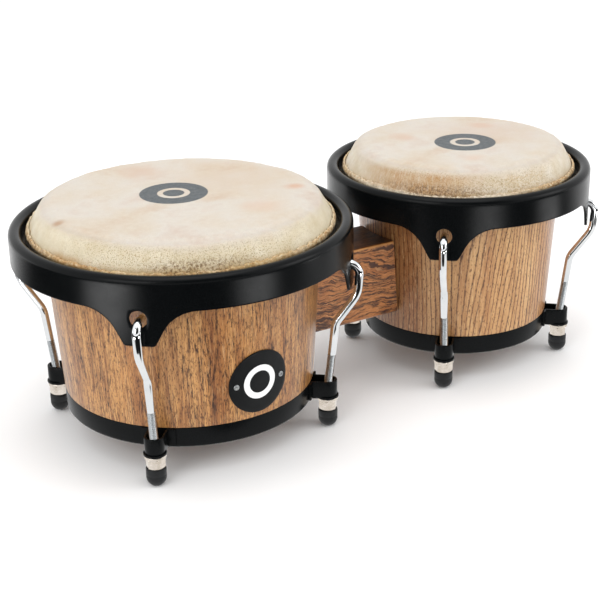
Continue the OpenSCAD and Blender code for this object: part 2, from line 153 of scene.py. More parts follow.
def make(name, verts, faces, body, material, where, node=None, sharp=40, second=None, slots=None):
    """A smooth-shaded piece from vertices in millimetres, moved to its place and given to a body."""
    mesh = bpy.data.meshes.new(name)
    mesh.from_pydata([tuple(c * MM for c in v) for v in verts], [], faces)
    mesh.transform(where)
    mesh.validate()
    mesh.materials.append(material)
    if second:
        mesh.materials.append(second)
        mesh.polygons.foreach_set("material_index", slots)
    mesh.polygons.foreach_set("use_smooth", [True] * len(mesh.polygons))
    mesh.set_sharp_from_angle(angle=math.radians(sharp))
    mesh.update()
    piece = bpy.data.objects.new(name, mesh)
    bpy.context.scene.collection.objects.link(piece)
    if body:
        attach(piece, body)
    if node:
        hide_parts(node)
    return piece


def quads(rows, cols, start=0, close_rows=False):
    """Faces of a grid of vertices stored row by row, whose rows are closed rings."""
    faces = []
    for i in range(rows if close_rows else rows - 1):
        this, above = start + i * cols, start + (i + 1) % rows * cols
        for j in range(cols):
            k = (j + 1) % cols
            faces.append((this + j, this + k, above + k, above + j))
    return faces


def ends(rows, cols):
    """Faces that close a grid's first and last rings."""
    last = (rows - 1) * cols
    return [tuple(range(cols))[::-1], tuple(range(last, last + cols))]


def circle(n):
    """The cosine and sine of n even steps round a circle."""
    return [(math.cos(2 * math.pi * k / n), math.sin(2 * math.pi * k / n)) for k in range(n)]


def lathe(profile, segments, x=0, shape=None):
    """A closed profile of (radius, z) points turned about an upright axis. It runs up on the outside."""
    verts = []
    for i, (radius, height) in enumerate(profile):
        for k in range(segments):
            a = 2 * math.pi * k / segments
            r, z = shape(i, a, radius, height) if shape else (radius, height)
            verts.append((x + r * math.cos(a), r * math.sin(a), z))
    return verts, quads(len(profile), segments, close_rows=True)


def add(verts, faces, more_verts, more_faces):
    base = len(verts)
    verts.extend(more_verts)
    faces.extend(tuple(base + k for k in f) for f in more_faces)


def backwards(faces):
    return [f[::-1] for f in faces]


def arc(cx, cz, r, a0, a1, n):
    """Points on an arc from angle a0 to a1, in degrees."""
    angles = [math.radians(a0 + (a1 - a0) * k / n) for k in range(n + 1)]
    return [(cx + r * math.cos(a), cz + r * math.sin(a)) for a in angles]


def rounded(points, radii, n=3):
    """A polyline with its corners rounded by arcs, one radius a corner; the ends stay."""
    out = [points[0]]
    for (ax, ay), (bx, by), (cx, cy), r in zip(points, points[1:], points[2:], radii):
        corner = Vector((bx, by))
        u, v = Vector((ax - bx, ay - by)), Vector((cx - bx, cy - by))
        u_length, v_length = u.length, v.length
        u, v = u / u_length, v / v_length
        half = math.acos(max(-1, min(1, u.dot(v)))) / 2
        cut = min(r / math.tan(half), u_length * 0.499, v_length * 0.499)
        r = cut * math.tan(half)
        centre = corner + (u + v).normalized() * (r / math.sin(half))
        p, q = corner + u * cut - centre, corner + v * cut - centre
        turn = math.atan2(p.x * q.y - p.y * q.x, p.dot(q))
        start = math.atan2(p.y, p.x)
        for k in range(n + 1):
            a = start + turn * k / n
            out.append((centre.x + r * math.cos(a), centre.y + r * math.sin(a)))
    out.append(points[-1])
    return out


def tube(path, radii, segments):
    """A round rod along a path of points in the XZ plane, with flat ends."""
    verts, n = [], len(path)
    across = Vector((0, 1, 0))
    for i, p in enumerate(path):
        along = (Vector(path[min(i + 1, n - 1)]) - Vector(path[max(i - 1, 0)])).normalized()
        up = across.cross(along)
        for c, s in circle(segments):
            verts.append(tuple(Vector(p) + across * (radii[i] * s) + up * (-radii[i] * c)))
    return verts, backwards(quads(n, segments) + ends(n, segments))


# ---------------------------------------------------------------- material helpers

class Nodes:
    """A new material with short names for the nodes that it is built from."""

    def __init__(self, name):
        self.material = bpy.data.materials.new(name)
        self.material.use_nodes = True
        self.tree = self.material.node_tree
        self.tree.nodes.clear()
        self.out = self.node("OutputMaterial")
        self.bsdf = self.node("BsdfPrincipled")
        self.tree.links.new(self.bsdf.outputs[0], self.out.inputs[0])
        self.coords = self.node("TexCoord").outputs["Object"]

    def node(self, kind):
        return self.tree.nodes.new(f"ShaderNode{kind}")

    def link(self, value, socket):
        if isinstance(value, bpy.types.NodeSocket):
            self.tree.links.new(value, socket)
        elif value is not None:
            socket.default_value = value

    def set(self, **values):
        """Plain values and node outputs on the shader's own sockets."""
        for key, value in values.items():
            self.link(value, self.bsdf.inputs[key.replace("_", " ").title().replace("Ior", "IOR")])
        return self

    def glow(self, strength):
        """Light of this strength instead of a surface."""
        light = self.node("Emission")
        self.link(strength, light.inputs["Strength"])
        self.tree.links.new(light.outputs[0], self.out.inputs[0])
        self.tree.nodes.remove(self.bsdf)

    def moved(self, vector, scale=(1, 1, 1), location=(0, 0, 0)):
        n = self.node("Mapping")
        self.link(vector, n.inputs["Vector"])
        n.inputs["Scale"].default_value = scale
        n.inputs["Location"].default_value = location
        return n.outputs[0]

    def noise(self, scale, detail=3, roughness=0.5, vector=None, colour=False):
        n = self.node("TexNoise")
        self.link(self.coords if vector is None else vector, n.inputs["Vector"])
        n.inputs["Scale"].default_value = scale
        n.inputs["Detail"].default_value = detail
        n.inputs["Roughness"].default_value = roughness
        return n.outputs["Color" if colour else "Fac"]

    def grain(self, vector, scale, detail=3, roughness=0.5, location=(0, 0, 0), colour=False):
        """Noise that is stretched by a scale of its own along each axis."""
        return self.noise(1.0, detail, roughness, self.moved(vector, scale, location), colour)

    def math(self, op, a, b=None):
        n = self.node("Math")
        n.operation = op
        self.link(a, n.inputs[0])
        self.link(b, n.inputs[1])
        return n.outputs[0]

    def plus(self, a, b):
        return self.math("ADD", a, b)

    def minus(self, a, b):
        return self.math("SUBTRACT", a, b)

    def times(self, a, b):
        return self.math("MULTIPLY", a, b)

    def size(self, a):
        return self.math("ABSOLUTE", a)

    def swing(self, noise, amount):
        """Noise about zero, of this amount from its lowest to its highest."""
        return self.times(self.minus(noise, 0.5), amount)

    def vector(self, op, a, b=None):
        n = self.node("VectorMath")
        n.operation = op
        self.link(a, n.inputs[0])
        self.link(b, n.inputs[1])
        return n.outputs["Value" if op in ("LENGTH", "DISTANCE", "DOT_PRODUCT") else "Vector"]

    def swayed(self, vector, noise, amounts):
        """A vector pushed about by a colour noise, by an amount of its own along each axis."""
        push = self.vector("SUBTRACT", noise, (0.5, 0.5, 0.5))
        return self.vector("ADD", vector, self.vector("MULTIPLY", push, amounts))

    def split(self, vector):
        n = self.node("SeparateXYZ")
        self.link(vector, n.inputs[0])
        return n.outputs

    def join(self, x, y, z):
        n = self.node("CombineXYZ")
        for value, socket in zip((x, y, z), n.inputs):
            self.link(value, socket)
        return n.outputs[0]

    def ramp(self, fac, *stops):
        n = self.node("ValToRGB")
        self.link(fac, n.inputs[0])
        marks = n.color_ramp.elements
        while len(marks) < len(stops):
            marks.new(0.5)
        for mark, (at, _) in zip(marks, stops):
            mark.position = at
        for mark, (_, value) in zip(marks, stops):
            mark.color = (*rgb(value), 1) if isinstance(value, str) else (value, value, value, 1)
        return n.outputs[0]

    def mix(self, fac, a, b):
        n = self.node("Mix")
        n.data_type = "RGBA"
        self.link(fac, n.inputs["Factor"])
        sockets = [s for s in n.inputs if s.type == "RGBA"]
        for value, socket in zip((a, b), sockets):
            self.link((*rgb(value), 1) if isinstance(value, str) else value, socket)
        return [s for s in n.outputs if s.type == "RGBA"][0]

    def over(self, base, colour, fac, low, high, share=1.0):
        """A base with a colour laid over it where fac runs from low to high, up to a share."""
        return self.mix(self.range(fac, low, high, 0, share), base, colour)

    def range(self, value, low, high, to_low=0.0, to_high=1.0, smooth=False):
        n = self.node("MapRange")
        if smooth:
            n.interpolation_type = "SMOOTHSTEP"
        names = "Value", "From Min", "From Max", "To Min", "To Max"
        for given, name in zip((value, low, high, to_low, to_high), names):
            self.link(given, n.inputs[name])
        return n.outputs[0]

    def bump(self, height, strength, distance):
        n = self.node("Bump")
        n.inputs["Strength"].default_value = strength
        n.inputs["Distance"].default_value = distance
        self.link(height, n.inputs["Height"])
        return n.outputs[0]


def rgb(hex_colour):
    """A display colour such as #a0b0c0 as linear values."""
    out = []
    for k in (1, 3, 5):
        c = int(hex_colour[k:k + 2], 16) / 255
        out.append(c / 12.92 if c <= 0.04045 else ((c + 0.055) / 1.055) ** 2.4)
    return tuple(out)


# ---------------------------------------------------------------- materials

def powder_coat():
    m = Nodes("black_powder_coat")
    grain = m.noise(2600, 2)
    cloud = m.ramp(m.noise(35, 4, 0.6), (0.3, "#030405"), (0.7, "#07090a"))
    m.set(base_color=m.over(cloud, "#0b0d0e", grain, 0.35, 0.65),
          roughness=m.range(m.noise(60, 5, 0.65), 0.3, 0.7, 0.21, 0.27),
          specular_ior_level=0.12, normal=m.bump(grain, 0.10, 0.00006))
    return m.material


def chrome():
    m = Nodes("chrome")
    m.set(base_color=m.ramp(m.noise(45), (0.3, "#e3e6e8"), (0.7, "#f3f4f4")), metallic=1.0,
          roughness=m.range(m.noise(160, 4, 0.6), 0.3, 0.75, 0.035, 0.10),
          normal=m.bump(m.noise(220, 2), 0.05, 0.0002))
    return m.material


def thread_steel():
    m = Nodes("thread_steel")
    m.set(base_color=m.ramp(m.noise(900, 4, 0.7), (0.3, "#a3a8ab"), (0.7, "#d4d7d8")), metallic=1.0,
          roughness=m.range(m.noise(1400), 0.3, 0.7, 0.22, 0.36))
    return m.material


def nickel():
    m = Nodes("nickel")
    brushed = m.noise(900, 4, 0.6, m.moved(m.coords, (0.15, 0.15, 2.5)))
    m.set(base_color=m.ramp(m.noise(120, 4, 0.6), (0.3, "#cfc3b4"), (0.72, "#efe6dc")), metallic=1.0,
          roughness=m.range(brushed, 0.3, 0.7, 0.16, 0.30), normal=m.bump(brushed, 0.12, 0.00008))
    return m.material


def zinc_steel():
    m = Nodes("zinc_steel")
    m.set(base_color=m.ramp(m.noise(160, 5, 0.65), (0.3, "#9fa3a6"), (0.7, "#c7c8c6")), metallic=1.0,
          roughness=m.range(m.noise(420, 4), 0.3, 0.7, 0.3, 0.5), normal=m.bump(m.noise(1500), 0.1, 0.0001))
    return m.material


def hoop_steel():
    m = Nodes("hoop_steel")
    m.set(base_color=m.ramp(m.noise(210, 5, 0.65), (0.3, "#4e5052"), (0.7, "#8a8b89")), metallic=1.0,
          roughness=m.range(m.noise(420, 4), 0.3, 0.7, 0.35, 0.6))
    return m.material


def foot_rubber():
    m = Nodes("foot_rubber")
    m.set(base_color=m.ramp(m.noise(240, 4, 0.6), (0.3, "#0e0f10"), (0.75, "#191b1d")),
          roughness=m.range(m.noise(320, 4), 0.3, 0.7, 0.42, 0.58), specular_ior_level=0.3,
          normal=m.bump(m.noise(1800, 3, 0.6), 0.15, 0.0001))
    return m.material


def badge_black():
    m = Nodes("badge_black")
    m.set(base_color=m.ramp(m.noise(130, 4, 0.6), (0.3, "#0b0d0e"), (0.75, "#121415")),
          roughness=m.range(m.noise(420, 4), 0.3, 0.7, 0.38, 0.52), specular_ior_level=0.2,
          normal=m.bump(m.noise(1900, 3, 0.6), 0.12, 0.00008))
    return m.material


def badge_white():
    m = Nodes("badge_white")
    m.set(base_color=m.ramp(m.noise(260, 4, 0.6), (0.3, "#e9eaea"), (0.7, "#f7f7f6")),
          roughness=m.range(m.noise(500), 0.3, 0.7, 0.3, 0.42), normal=m.bump(m.noise(1500), 0.06, 0.00006))
    return m.material


def lacquer(m, colour, sheen, low, high, coat, relief):
    """The wood's colour under clear lacquer, with a gloss and a relief that follow the grain."""
    m.set(base_color=colour, roughness=m.range(sheen, 0.3, 0.7, low, high), coat_weight=coat,
          coat_roughness=0.24, specular_ior_level=0.4, normal=m.bump(relief, 0.12, 0.0002))
    return m.material


def large_shell_wood(drum):
    """Lacquered walnut veneer: staves of differing tint, fine upright grain, and short dark specks."""
    m = Nodes("large_shell_wood")
    here = m.moved(m.coords, location=(-drum.x * MM, 0, 0))
    bent = m.swayed(here, m.grain(here, (12, 12, 6), 2, colour=True), (0.004, 0.004, 0.0))
    bands = m.grain(bent, (48, 48, 1.1), 4, 0.6)
    lines = m.grain(bent, (330, 330, 3.6), 5, 0.70)
    strands = m.grain(bent, (950, 950, 18), 3, 0.6)
    specks = m.grain(here, (1100, 1100, 240), 2, 0.6)
    pores = m.grain(here, (1500, 1500, 420), 2, location=(0.5, 0.2, 0.1))
    base = m.ramp(bands, (0.30, "#8a5429"), (0.42, "#b47a3e"), (0.52, "#c79254"),
                  (0.60, "#b98144"), (0.74, "#9a6330"))
    base = m.over(base, "#87522b", m.grain(here, (26, 26, 16)), 0.52, 0.74, 0.50)
    base = m.over(base, "#7c4822", lines, 0.47, 0.62, 0.75)
    base = m.over(base, "#6b3c17", strands, 0.50, 0.62, 0.55)
    base = m.mix(m.times(m.range(specks, 0.54, 0.62), m.range(lines, 0.35, 0.55, 0.35, 0.9)), base, "#4c270e")
    base = m.over(base, "#3a1d0a", pores, 0.60, 0.66, 0.7)
    light = m.grain(bent, (1000, 1000, 26), 3, 0.6, (0.1, 0.9, 0.3))
    base = m.over(base, "#dcb079", light, 0.56, 0.70, 0.45)
    # dark veins run where a slow noise crosses its middle
    vein = m.range(m.size(m.minus(m.grain(bent, (120, 120, 1.4)), 0.5)), 0.016, 0.003)
    base = m.mix(m.times(vein, m.range(specks, 0.38, 0.52, 0.25, 0.95)), base, "#3a1f0f")
    relief = m.plus(m.times(m.range(pores, 0.58, 0.68), -1.0), m.times(strands, 0.4))
    return lacquer(m, base, strands, 0.34, 0.46, 0.45, relief)


def small_shell_wood(drum):
    """Lacquered ash-like veneer: pale wood with rows of dark pores, upright but leaning near the front."""
    m = Nodes("small_shell_wood")
    here = m.moved(m.coords, location=(-drum.x * MM, 0, 0))
    x, y, z = m.split(here)
    rows_round_drum = 120
    sway = m.grain(here, (15, 15, 4), 2)
    ripple = m.grain(here, (75, 75, 9), 3, 0.6)
    angle = m.math("ARCTAN2", y, x)
    turns = m.times(angle, rows_round_drum / (2 * math.pi))
    # the rows lean most at this angle, and stand upright from 30 degrees off it
    aside = m.size(m.plus(angle, math.radians(106)))
    slope = m.range(aside, 0.52, 0.08, -3.0, -36.0, smooth=True)
    lean = m.times(m.minus(z, 0.085), slope)
    bend = m.plus(m.times(sway, 5.0), m.times(ripple, 1.9))
    phase = m.math("FRACT", m.plus(m.plus(turns, lean), bend))
    row = m.ramp(phase, (0.0, 0.85), (0.10, 0.30), (0.28, 0.06), (0.60, 0.03),
                 (0.80, 0.22), (0.90, 1.0), (1.0, 1.0))
    broken = m.grain(here, (650, 650, 380), 3, 0.65)
    weight = m.grain(here, (34, 34, 8), 2)
    streaks = m.grain(here, (260, 260, 10), 5, 0.66)
    base = m.ramp(m.grain(here, (36, 36, 2)), (0.30, "#b17c49"), (0.5, "#cfa26b"), (0.75, "#bd8a54"))
    base = m.over(base, "#9f6c3b", streaks, 0.45, 0.66, 0.70)
    # painted shadow: the wood darkens towards its left side, where the large drum shades it
    left = m.range(angle, math.radians(-128), math.radians(-160), 0, 0.62, smooth=True)
    base = m.mix(left, base, "#79421f")
    # painted shade: the wood is also darker and redder towards the right side, where it turns away
    right = m.range(angle, math.radians(-78), math.radians(-48), 0, 0.50, smooth=True)
    base = m.mix(right, base, "#a8694a")
    base = m.mix(m.times(row, 0.55), base, "#7a4824")
    middle = m.range(aside, 0.10, 0.50, 0.12, 0.45)
    dots = m.times(m.range(row, 0.30, 0.85), m.math("MAXIMUM", m.range(broken, 0.42, 0.52), middle))
    dots = m.times(dots, m.range(weight, 0.35, 0.6, 0.6, 1.0))
    base = m.mix(dots, base, "#3b1d0b")
    base = m.over(base, "#593112", m.grain(here, (1150, 1150, 420), 2), 0.59, 0.66, 0.75)
    light = m.grain(here, (1000, 1000, 100), 3, 0.6, (0.2, 0.7, 0.3))
    base = m.over(base, "#e3bd88", light, 0.56, 0.70, 0.45)
    relief = m.plus(m.times(dots, -1.0), m.times(streaks, 0.4))
    return lacquer(m, base, streaks, 0.34, 0.46, 0.45, relief)


def block_wood():
    """Lacquered wood with wavy dark figure along the block, a painted highlight along its long upper edges,
    and painted shade on its top.
    """
    m = Nodes("block_wood")
    bent = m.swayed(m.coords, m.grain(m.coords, (24, 28, 30), colour=True), (0.0, 0.004, 0.022))
    bent = m.swayed(bent, m.grain(m.coords, (110, 110, 130), 3, 0.6, colour=True), (0.0, 0.001, 0.0050))
    figure = m.grain(bent, (26, 180, 380), 3, 0.62)
    thin = m.grain(bent, (50, 300, 620), 3, 0.6, (0.3, 0.1, 0.7))
    fine = m.grain(bent, (60, 850, 850), 4, 0.6)
    base = m.ramp(m.grain(m.coords, (20, 60, 60)), (0.3, "#9c5a29"), (0.5, "#c07c3f"), (0.7, "#a8662f"))
    base = m.over(base, "#7f451f", fine, 0.45, 0.7, 0.60)
    base = m.over(base, "#3c1a09", figure, 0.51, 0.58, 0.92)
    base = m.over(base, "#391a0a", thin, 0.53, 0.61, 0.85)
    base = m.over(base, "#2d1407", m.grain(m.coords, (300, 1200, 1200), 2), 0.58, 0.66, 0.80)
    base = m.over(base, "#d9a066", m.grain(bent, (70, 500, 700), 3, 0.6, (0.6, 0.2, 0.9)), 0.58, 0.70, 0.5)
    facing_up = m.split(m.node("NewGeometry").outputs["Normal"])[2]
    # painted shade: the top face, in the shadow of the rims, is darkened
    base = m.mix(m.range(facing_up, 0.75, 0.97, 0, 0.86, smooth=True), base, "#2a1106")
    # painted highlight: a light line along the rounded top edges
    edge = m.times(m.range(facing_up, 0.15, 0.35), m.range(facing_up, 0.90, 0.70))
    base = m.mix(m.times(edge, 0.75), base, "#d79a5e")
    relief = m.plus(m.times(figure, -0.6), m.times(fine, 0.4))
    return lacquer(m, base, fine, 0.36, 0.48, 0.35, relief)


def stained(m, drum, colour, angle, z, cloud, strands):
    """A head's colour with its stains."""
    patchy = m.range(m.noise(60, 4, 0.65), 0.32, 0.52, 0.55, 1.0)
    streaky = m.times(m.range(strands, 0.36, 0.54, 0.40, 1.0), patchy)
    speckled = m.times(m.range(m.noise(620, 4, 0.7), 0.46, 0.57, 0.05, 1.0), patchy)
    for middle, half, low, high, ink, share, specks in STAINS[drum.name]:
        away = m.plus(m.size(m.minus(angle, math.radians(middle))), m.swing(cloud, 0.5))
        mask = m.range(away, math.radians(half), math.radians(half * 0.15), smooth=True)
        mask = m.times(mask, m.range(z, high * MM, (high - 5) * MM, smooth=True))
        mask = m.times(mask, m.range(z, low * MM, (low + 3) * MM, smooth=True))
        mask = m.times(mask, speckled if specks else streaky)
        colour = m.mix(m.times(mask, share), colour, ink)
    return colour


def printed(m, drum, colour, flat, z):
    """A head's colour with a dark printed disc, a little off the middle, in which a ring is left bare."""
    offset, disc_r = ((-0.0019, 0.0068, 0), 0.0240) if drum.large else ((0.0010, -0.0074, 0), 0.0235)
    away = m.plus(m.vector("DISTANCE", flat, offset), m.swing(m.noise(700), 0.0006))
    disc = m.range(away, disc_r + 0.0003, disc_r - 0.0003)
    bare = m.times(m.range(away, 0.0118, 0.0112), m.range(away, 0.0072, 0.0078))
    disc = m.times(disc, m.minus(1.0, bare))
    ink = m.ramp(m.noise(900, 4, 0.75), (0.35, "#262e32"), (0.65, "#465056"))
    on_top = m.math("GREATER_THAN", z, 0.165)
    return m.mix(m.times(m.times(disc, on_top), 0.97), colour, ink)


def rawhide(drum):
    """Animal skin: cream and pink on top, yellow and speckled down its side, with a printed disc."""
    m = Nodes(f"{drum.name}_rawhide")
    large = drum.large
    flat_r = drum.flat_r * MM
    here = m.moved(m.coords, location=(-drum.x * MM, 0, 0))
    x, y, z = m.split(here)
    flat = m.join(x, y, 0.0)
    radius = m.vector("LENGTH", flat)
    # measured from the side the badge faces, so that its seam falls at the back
    angle = m.math("ARCTAN2", x, m.times(y, -1.0))
    cloud = m.grain(here, (17, 17, 17), 5, 0.55)
    blotch = m.grain(here, (34, 34, 34), 4, location=(0.3, 0.1, 0))
    mottle = m.noise(240, 4, 0.6)
    grain = m.noise(1300, 4, 0.7)
    # hairs and wrinkles run down the side: fine across, long downwards
    hairs = m.join(m.times(angle, 130.0 if large else 110.0), m.times(z, 130.0), 0.0)
    strands = m.noise(1.0, 4, 0.65, hairs)
    side = m.range(m.plus(radius, m.swing(cloud, 0.012)), flat_r + 0.0065, flat_r + 0.0135, smooth=True)
    low = m.range(m.plus(z, m.swing(mottle, 0.004)), 0.1585, 0.1520, smooth=True)
    top = m.ramp(cloud, (0.30, "#bca797"), (0.44, "#c6beb3"), (0.58, "#c3b5a2"), (0.74, "#bba48b"))
    top = m.over(top, "#b4906f", blotch, 0.58, 0.78, 0.55)
    top = m.over(top, "#d6d0c5", mottle, 0.38, 0.68, 0.32)
    top = m.over(top, "#a08d78", grain, 0.45, 0.72, 0.34)
    tints = ("#c3b494", "#d4cab3") if large else ("#c4b498", "#d5cbba")
    flank = m.ramp(m.noise(80, 4, 0.6), (0.3, tints[0]), (0.7, tints[1]))
    # the specks are densest on the side that faces the badge
    facing = m.range(m.size(m.minus(angle, math.radians(-23))), math.radians(66), math.radians(20),
                     0.12, 1.0, smooth=True)
    speck = m.noise(1150, 3, 0.7)
    flank = m.mix(m.times(facing, m.range(speck, 0.54, 0.61, 0, 0.80)), flank, "#8c7244")
    flank = m.mix(m.times(facing, m.range(grain, 0.58, 0.66, 0, 0.75)), flank, "#5f4524")
    flank = m.over(flank, "#e6dfcf", strands, 0.55, 0.72, 0.28)
    colour = m.mix(side, top, flank)
    # painted shade: a slightly grey line where the skin bends over the shell
    bend = m.range(m.size(m.minus(radius, flat_r + 0.0085)), 0.0045, 0.0, smooth=True)
    colour = m.mix(m.times(bend, m.range(cloud, 0.3, 0.7, 0.05, 0.38)), colour, "#a3968c")
    colour = m.mix(m.times(low, m.range(m.noise(60, 4, 0.6), 0.36, 0.62, 0.05, 0.75)), colour, "#b08a48")
    # the trimmed edge: pale in places, brown in its dips
    edge = m.times(m.range(radius, flat_r + 0.0186, flat_r + 0.0191), m.range(z, 0.1480, 0.1500))
    rough = m.noise(430, 4, 0.7)
    trim = m.ramp(rough, (0.30, "#66451f"), (0.42, "#a0784a"), (0.54, "#c9ad7f"), (0.70, "#e2d6ba"))
    if not large:
        away = m.size(m.minus(angle, math.radians(-50)))
        pale = m.range(away, math.radians(58), math.radians(30), 0.0, 0.75)
        trim = m.mix(pale, trim, m.ramp(rough, (0.3, "#b5a585"), (0.5, "#e9e1cd"), (0.7, "#f3eee2")))
    colour = m.mix(m.times(edge, m.range(m.noise(45), 0.3, 0.6, 0.55, 1.0)), colour, trim)
    colour = stained(m, drum, colour, angle, z, cloud, strands)
    for spot_x, spot_y, r, ink, share in SPOTS[drum.name]:
        away = m.plus(m.vector("DISTANCE", flat, (spot_x, spot_y, 0.0)), m.swing(blotch, r * 1.4))
        colour = m.mix(m.range(away, r, r * 0.1, 0, share, smooth=True), colour, ink)
    # painted shade in the narrow gap between the trimmed edge and the rim
    deep = m.times(m.range(radius, flat_r + 0.0196, flat_r + 0.0202), m.range(z, 0.1540, 0.1512, smooth=True))
    colour = m.mix(m.times(deep, 0.93), colour, "#150f0a")
    colour = printed(m, drum, colour, flat, z)
    relief = m.plus(m.times(m.noise(700, 5, 0.65), 0.6), m.times(m.noise(90), 0.8))
    relief = m.plus(relief, m.times(strands, 0.5))
    m.set(base_color=colour, roughness=m.range(mottle, 0.3, 0.7, 0.42, 0.58), specular_ior_level=0.4,
          subsurface_weight=0.06, subsurface_radius=(0.004, 0.002, 0.001), subsurface_scale=1.0,
          sheen_weight=0.05, normal=m.bump(relief, 0.28, 0.0004))
    return m.material


COAT, CHROME, THREAD, NICKEL = powder_coat(), chrome(), thread_steel(), nickel()
ZINC, HOOP, RUBBER = zinc_steel(), hoop_steel(), foot_rubber()
BADGE, WHITE, BLOCK = badge_black(), badge_white(), block_wood()


# ---------------------------------------------------------------- head

def wobble(angle, seed, turns, height):
    """Noise that closes on itself round the drum, with about this many swings a radian."""
    return noise.noise(Vector((turns * math.cos(angle) + seed, turns * math.sin(angle), height)))


def trimmed_height(angle, seed):
    """The height of the skin's trimmed edge in millimetres. It is higher at the left and right."""
    sides = abs(math.cos(angle + math.radians(31)))
    slow = wobble(angle, seed, 2.0, 0.4)
    middle = wobble(angle, seed, 9, 1.9)
    fast = wobble(angle, seed, 30, 5.1)
    quick = wobble(angle, seed, 75, 8.3)
    return 154.3 + 1.9 * sides + 1.0 * slow + 0.8 * middle + 1.2 * fast + 0.7 * quick


def make_skin(drum):
    """The head: flat top, crease over the shell's edge, collar round the hoop, and a lumpy trimmed edge."""
    thickness, flat_r = 1.2, drum.flat_r
    half = thickness / 2
    hoop_r, hoop_z, wrap_r = drum.rim_r - 10.3, 141, 4.1
    top, wall_r, edge_r, edge_z = drum.skin_top - half, flat_r + 19 - half, flat_r + 19.75, 147
    seed = 3.7 if drum.large else 11.3
    segments = 640
    # the profile's middle line, from the axis to the trimmed edge
    path = [(flat_r * k / 12, top) for k in range(12)]
    corners = [(flat_r - 3, top), (flat_r + 2.5, top), (flat_r + 10.2, top - 2.2)]
    corners += [(wall_r, 154.2), (wall_r, hoop_z)]
    bent = rounded(corners, [20, 4.5, 13], 9)
    for a, b in zip(bent, bent[1:]):
        steps = max(1, round(math.dist(a, b) / 2.2))
        path += [(a[0] + (b[0] - a[0]) * k / steps, a[1] + (b[1] - a[1]) * k / steps) for k in range(steps)]
    collar_end = len(path)
    path += arc(hoop_r, hoop_z, wrap_r, 180, 450, 26)
    path += [(hoop_r - 1.0, hoop_z + wrap_r + 0.2), (edge_r + 0.6, hoop_z + wrap_r + 0.9)]
    edge_start = len(path)
    climb = [0, 0.16, 0.32, 0.48, 0.62, 0.74, 0.84, 0.92, 0.97, 1.0]
    path += [(edge_r, edge_z + 8 * share) for share in climb]
    heights = [trimmed_height(2 * math.pi * k / segments, seed) for k in range(segments)]

    def edge_point(angle, height, share, around):
        """The trimmed edge's middle and half thickness: lumpy, frayed, and leaning in near its end."""
        z = edge_z + (height - edge_z) * share
        lump = wobble(angle, seed, 25, z * 0.22)
        fray = wobble(angle, seed, 66, z * 0.4 + 3)
        r = edge_r + (0.45 * lump + 0.30 * fray) * share - max(0, z - 153.2) * 0.36
        return r, z, around * (1 + 0.55 * lump + 0.45 * fray)

    def dent(angle, r, z):
        """How far the collar sinks in, never out."""
        strength = min(1.0, (r - flat_r * 0.97) / 9)
        wave = wobble(angle, seed, 2.6, z * 0.05)
        ripple = wobble(angle, seed, 8, z * 0.10)
        pucker = wobble(angle, seed, 24, z * 0.06)
        return max(-0.75, min(0.0, (0.30 * wave + 0.30 * ripple + 0.16 * pucker - 0.30) * strength))

    outer, inner = [], []
    for i, (path_r, path_z) in enumerate(path):
        before, after = path[max(i - 1, 0)], path[min(i + 1, len(path) - 1)]
        d = Vector((after[0] - before[0], after[1] - before[1])).normalized()
        nx, nz = -d.y, d.x
        around = half
        if i >= edge_start:
            share = climb[i - edge_start]
            around = (half + 0.35 * share) * math.sqrt(max(0.02, 1 - max(0, share - 0.72) ** 2 / 0.0790))
        row_out, row_in = [], []
        for k in range(segments):
            angle = 2 * math.pi * k / segments
            r, z, thick, sunk = path_r, path_z, around, 0.0
            if i >= edge_start:
                r, z, thick = edge_point(angle, heights[k], share, around)
            if i < collar_end and path_r > flat_r * 0.97:
                sunk = dent(angle, path_r, path_z)
            row_out.append((r + nx * thick + nx * sunk, z + nz * thick + nz * sunk))
            thin = min(thick, 0.85)
            row_in.append((r - nx * thin + nx * sunk, z - nz * thin + nz * sunk))
        outer.append(row_out)
        inner.append(row_in)
    rows = outer[1:] + inner[:0:-1]
    verts = []
    for row in rows:
        verts += [(r * c, r * s, min(z, drum.skin_top)) for (r, z), (c, s) in zip(row, circle(segments))]
    faces = backwards(quads(len(rows), segments))
    verts += [(0, 0, drum.skin_top), (0, 0, drum.skin_top - thickness)]
    last = (len(rows) - 1) * segments
    for k in range(segments):
        faces.append((len(verts) - 2, k, (k + 1) % segments))
        faces.append((len(verts) - 1, last + (k + 1) % segments, last + k))
    skin = make(f"{drum.name}_head", verts, faces, None, rawhide(drum), drum.centre(-drum.turn),
                node=f"{drum.name}_head_skin", sharp=80)
    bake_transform(skin)


# ---------------------------------------------------------------- tuning hooks, nuts and feet

def heading(degrees):
    """A step of one along a lean, as (outwards, up)."""
    return Vector((math.sin(math.radians(degrees)), math.cos(math.radians(degrees))))


def outwards(degrees):
    """A step of one square to a lean, as (outwards, up)."""
    return Vector((math.cos(math.radians(degrees)), -math.sin(math.radians(degrees))))


def bend(start, radius, a, b, n):
    """Points along a bend of the rod in its (outwards, up) plane, from a lean of a to a lean of b degrees."""
    side = 1 if b > a else -1
    centre = Vector(start) + side * radius * outwards(a)
    return [centre - side * radius * outwards(a + (b - a) * k / n) for k in range(n + 1)]


def rod_x(drum, z):
    """How far out the rod's centre line stands at a height below its low bend."""
    rise = FOOT_BEND * math.sin(math.radians(ROD_LEAN))
    if z <= UPRIGHT_Z:
        return drum.rod_r
    if z <= UPRIGHT_Z + rise:
        return drum.rod_r + FOOT_BEND - math.sqrt(FOOT_BEND ** 2 - (z - UPRIGHT_Z) ** 2)
    start = FOOT_BEND * (1 - math.cos(math.radians(ROD_LEAN)))
    return drum.rod_r + start + (z - UPRIGHT_Z - rise) * math.tan(math.radians(ROD_LEAN))


